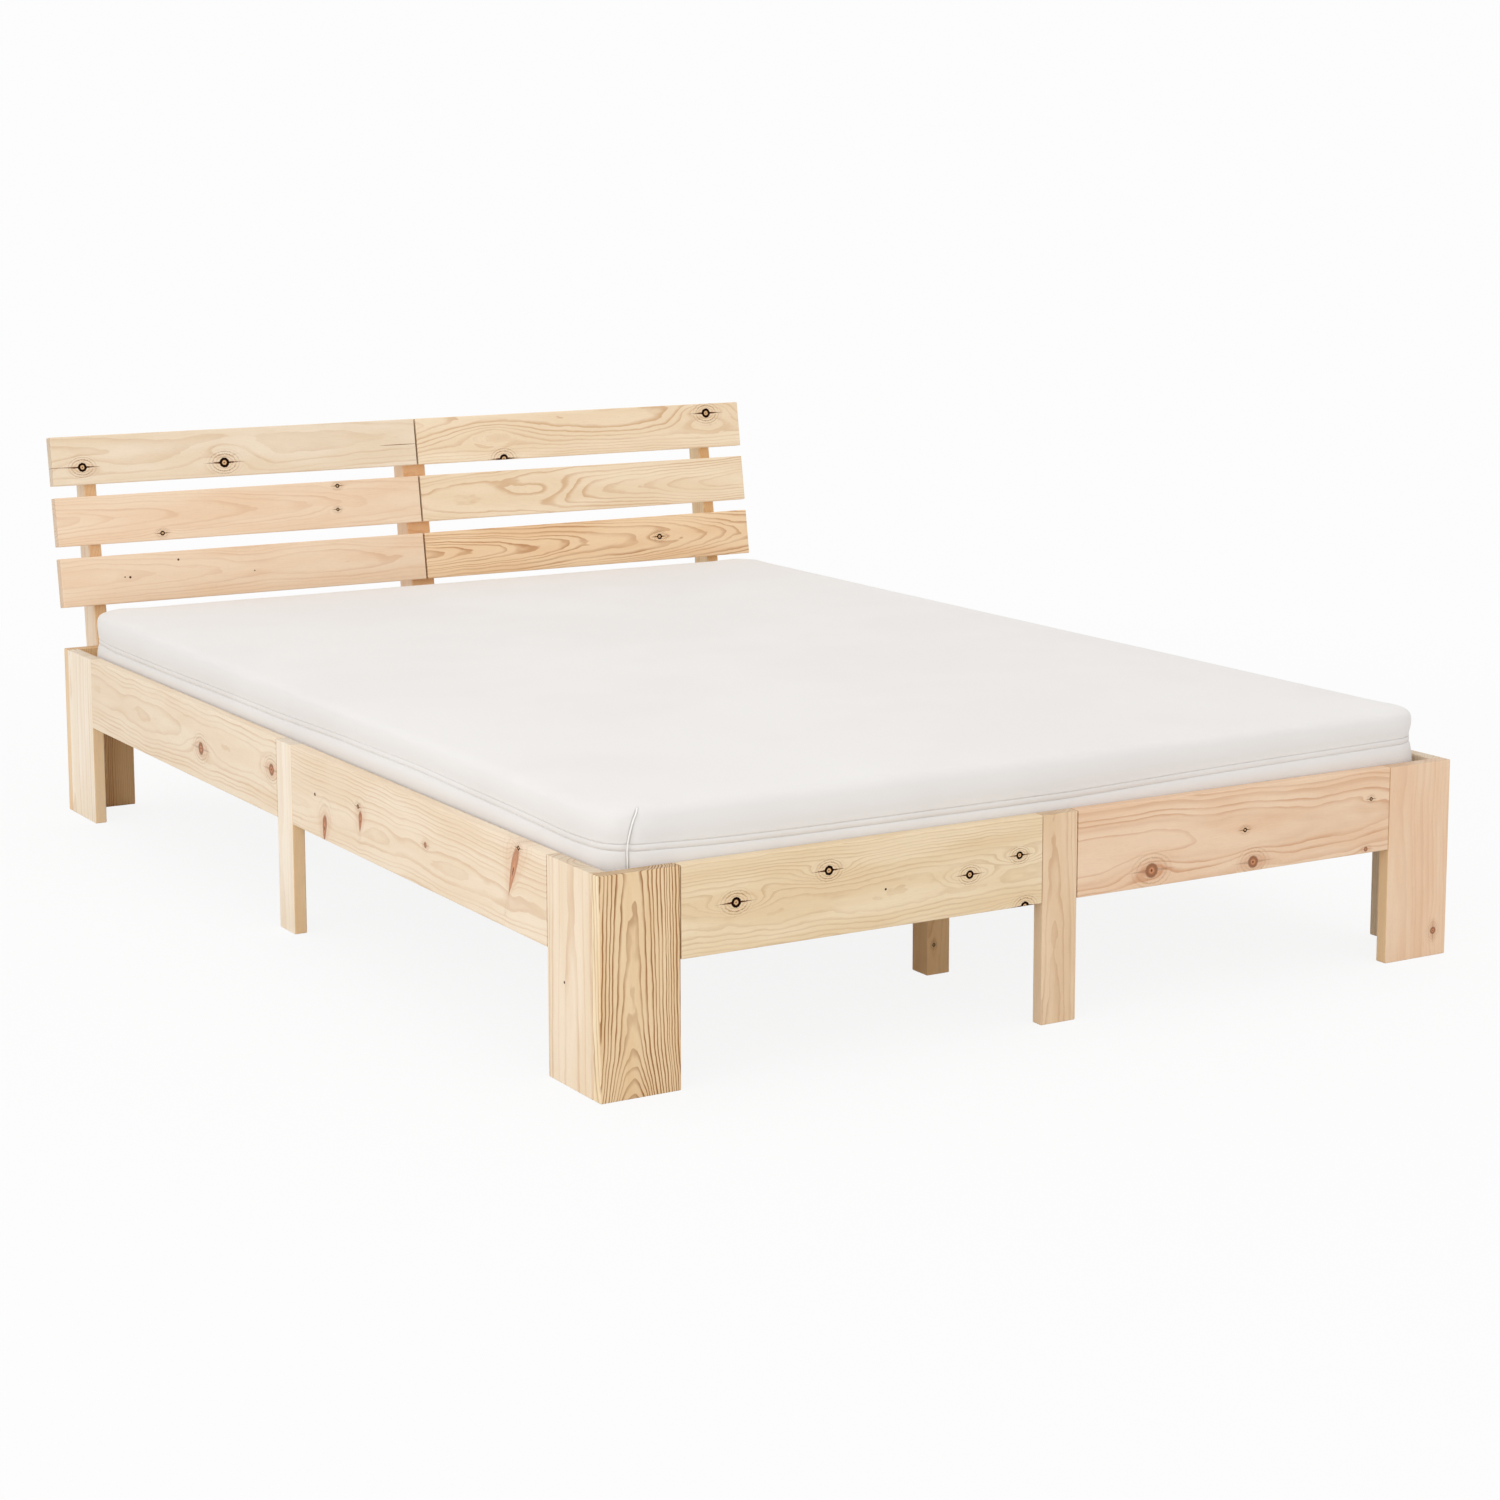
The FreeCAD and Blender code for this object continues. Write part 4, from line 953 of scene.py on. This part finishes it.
# The zip's cover strip: half its height, how far it stands out of the groove, and how far it goes back into it
ZIP_HALF = 4.1 * MM
ZIP_PROUD = 3.0 * MM
ZIP_ROOT = 1.5 * MM
ZIP_SECTION = (
    (-ZIP_ROOT, -ZIP_HALF), (0.7 * ZIP_PROUD, -ZIP_HALF), (ZIP_PROUD, -0.78 * ZIP_HALF), (1.12 * ZIP_PROUD, 0),
    (ZIP_PROUD, 0.78 * ZIP_HALF), (0.7 * ZIP_PROUD, ZIP_HALF), (-ZIP_ROOT, ZIP_HALF),
)


def seam_aim(share):
    """The way from a corner's centre out to its seam, at this share of the mattress's height."""
    rise = max(share - ZIP_SHARE, 0) / (1 - ZIP_SHARE)
    bend = (1 - SEAM_HOOK) * rise + SEAM_HOOK * rise ** HOOK_POWER
    return Vector((SEAM_ASIDE - SEAM_LEAN * bend, 1, 0)).normalized()


def pull_seam(mesh, numbers, toward):
    """Draws one seam in round its corner. Gives the points of its cord and the way out at each."""
    centre = Vector((HALF_WIDE - CORNER_RADIUS, HALF_LONG - CORNER_RADIUS, 0)) * toward
    points, outward = [], []
    for count, (ring, (share, _)) in enumerate(zip(numbers[1:-1], SIDE_SHARES[1:-1]), 1):
        aim = seam_aim(share) * toward
        vertex = mesh.vertices[max(ring, key=lambda n: mesh.vertices[n].co.dot(aim))]
        reach = (vertex.co - centre).to_2d().length - SEAM_PULL
        vertex.co.xy = (centre + aim * reach).xy
        if count not in ZIP_RINGS:
            points.append(vertex.co + aim * SEAM_PROUD * min((1 - share) / SEAM_END, 1))
            outward.append(aim)
    return points, outward


def make_mattress():
    """The cover with its zip strip and upright seams."""
    mesh, numbers = skin_mesh("cover", [(TALL * share, DRAW_IN * drawn) for share, drawn in SIDE_SHARES])
    cover = add_object("mattress_jersey_cover", mesh)
    swell(cover, numbers)
    settle(cover)
    mesh.materials.append(
        fabric_material("undyed_jersey", srgb(240, 237, 234), srgb(238, 234, 231), 0.25, seamed=True))
    smooth = cover.modifiers.new("smooth", "SUBSURF")
    smooth.levels = smooth.render_levels = 1
    cords = {"mattress_seam_foot": pull_seam(mesh, numbers, -1),
             "mattress_seam_head": pull_seam(mesh, numbers, 1)}
    places = [v.co.copy() for v in mesh.vertices]
    lower, upper = ([places[n] for n in numbers[ring]] for ring in ZIP_RINGS)
    line = [(a + b) / 2 for a, b in zip(lower, upper)]
    zip_strip = strip_along("mattress_zip_strip", line, ring_normals(line), [UP] * len(line), ZIP_SECTION, True)
    zip_strip.data.materials.append(
        fabric_material("zip_strip_jersey", srgb(238, 235, 232), srgb(232, 228, 224), 0.15))
    pieces = [zip_strip]
    cord_jersey = fabric_material("cord_jersey", srgb(250, 248, 246), srgb(248, 246, 244), 0.15)
    for name, (points, outward) in cords.items():
        aside = [Vector((-aim.y, aim.x, 0)) for aim in outward]
        seam = strip_along(name, points, outward, aside, round_section(SEAM_RADIUS), False)
        seam.data.materials.append(cord_jersey)
        pieces.append(seam)
    for piece in [cover] + pieces:
        piece.location = MATTRESS_PLACE
        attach(piece, "mattress")
    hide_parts("mattress_cover")


def make_foam():
    """The foam block inside the cover, with rounded edges."""
    mesh, _ = skin_mesh("foam", [(height * MM, inset * MM) for height, inset in FOAM_RINGS])
    block = add_object("mattress_foam_block", mesh)
    mesh.materials.append(fabric_material("mattress_foam", srgb(238, 232, 214), srgb(230, 222, 200), 0.8))
    block.location = MATTRESS_PLACE
    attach(block, "mattress")
    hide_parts("mattress_core")


# Studio

# Levels of the world: on the object, and as the camera, mirrors and glass see it
WORLD_LEVEL = 0.80
SEEN_LEVEL = 0.98

# The floor's half width in metres. From one distance to the other, in millimetres, the share of plain glow that
# the camera sees in it grows
FLOOR_REACH = 14.0
FLOOR_GLOW = (1500.0, 3200.0, 0.90, 1.0)

# Lamps: name, place, size, watts. All face a point over the bed's middle
LAMPS = (
    ("key", (-4.6, -2.8, 3.0), 4.5, 80),
    ("fill", (2.6, -5.2, 1.4), 5.0, 12),
    ("top", (0.4, 0.6, 5.4), 5.0, 45),
)
LAMP_AIM = Vector((0, 0, 0.2))


def look(made, way):
    """Turns a lamp or camera to look this way."""
    made.rotation_mode = "QUATERNION"
    made.rotation_quaternion = way.to_track_quat("-Z", "Y")


def make_studio():
    """A pale floor, a white surround and three soft boxes."""
    scene = bpy.context.scene
    world = bpy.data.worlds.new("surround")
    scene.world = world
    world.use_nodes = True
    g = Graph(world.node_tree)
    shade = next(n for n in world.node_tree.nodes if n.type == "BACKGROUND")
    path = g.node("ShaderNodeLightPath").outputs
    seen = g.math("MAXIMUM", path["Is Camera Ray"], g.math("MAXIMUM", path["Is Glossy Ray"],
                                                           path["Is Transmission Ray"]))
    shade.inputs["Color"].default_value = (1, 1, 1, 1)
    g.feed(shade.inputs["Strength"], g.add(WORLD_LEVEL, g.mul(seen, SEEN_LEVEL - WORLD_LEVEL)))
    bpy.ops.mesh.primitive_grid_add(x_subdivisions=8, y_subdivisions=8, size=2 * FLOOR_REACH)
    floor = bpy.context.object
    floor.name = "studio_floor"
    made, g, shader = new_material("studio_floor", {"Base Color": srgb(246, 246, 246), "Roughness": 0.9,
                                                    "Specular IOR Level": 0.0})
    glow = g.node("ShaderNodeEmission", {"Color": (SEEN_LEVEL, SEEN_LEVEL, SEEN_LEVEL, 1), "Strength": 1.0})
    path = g.node("ShaderNodeLightPath").outputs
    place, _ = turned_place(g)
    share = g.step(g.vector("LENGTH", place), *FLOOR_GLOW)
    blend = g.node("ShaderNodeMixShader", {0: g.mul(path["Is Camera Ray"], share), 1: shader.outputs[0],
                                           2: glow.outputs[0]})
    output = next(n for n in g.tree.nodes if n.type == "OUTPUT_MATERIAL")
    g.feed(output.inputs["Surface"], blend.outputs[0])
    floor.data.materials.append(made)
    for name, place, size, watts in LAMPS:
        light = bpy.data.lights.new(name, "AREA")
        light.shape = "SQUARE"
        light.size = size
        light.energy = watts
        lamp = add_object(name, light)
        lamp.location = place
        look(lamp, LAMP_AIM - Vector(place))
    scene.view_settings.view_transform = "Standard"


def make_camera():
    """The photograph's view."""
    data = bpy.data.cameras.new("camera")
    data.sensor_width = SENSOR
    data.lens = LENS_PIXELS / PICTURE_WIDE * SENSOR
    data.shift_x = (PICTURE_WIDE / 2 - PRINCIPAL_ACROSS) / PICTURE_WIDE
    data.shift_y = (PRINCIPAL_DOWN - PICTURE_WIDE / 2) / PICTURE_WIDE
    camera = add_object("camera", data)
    camera.location = CAMERA_PLACE
    turn, down = math.radians(CAMERA_TURN), math.radians(CAMERA_DOWN)
    look(camera, Vector((math.sin(turn) * math.cos(down), math.cos(turn) * math.cos(down), -math.sin(down))))
    bpy.context.scene.camera = camera


make_frame_boards()
make_centre_legs()
make_headboard_slats()
cover_kept_nodes()
make_mattress()
make_foam()
make_studio()
make_camera()
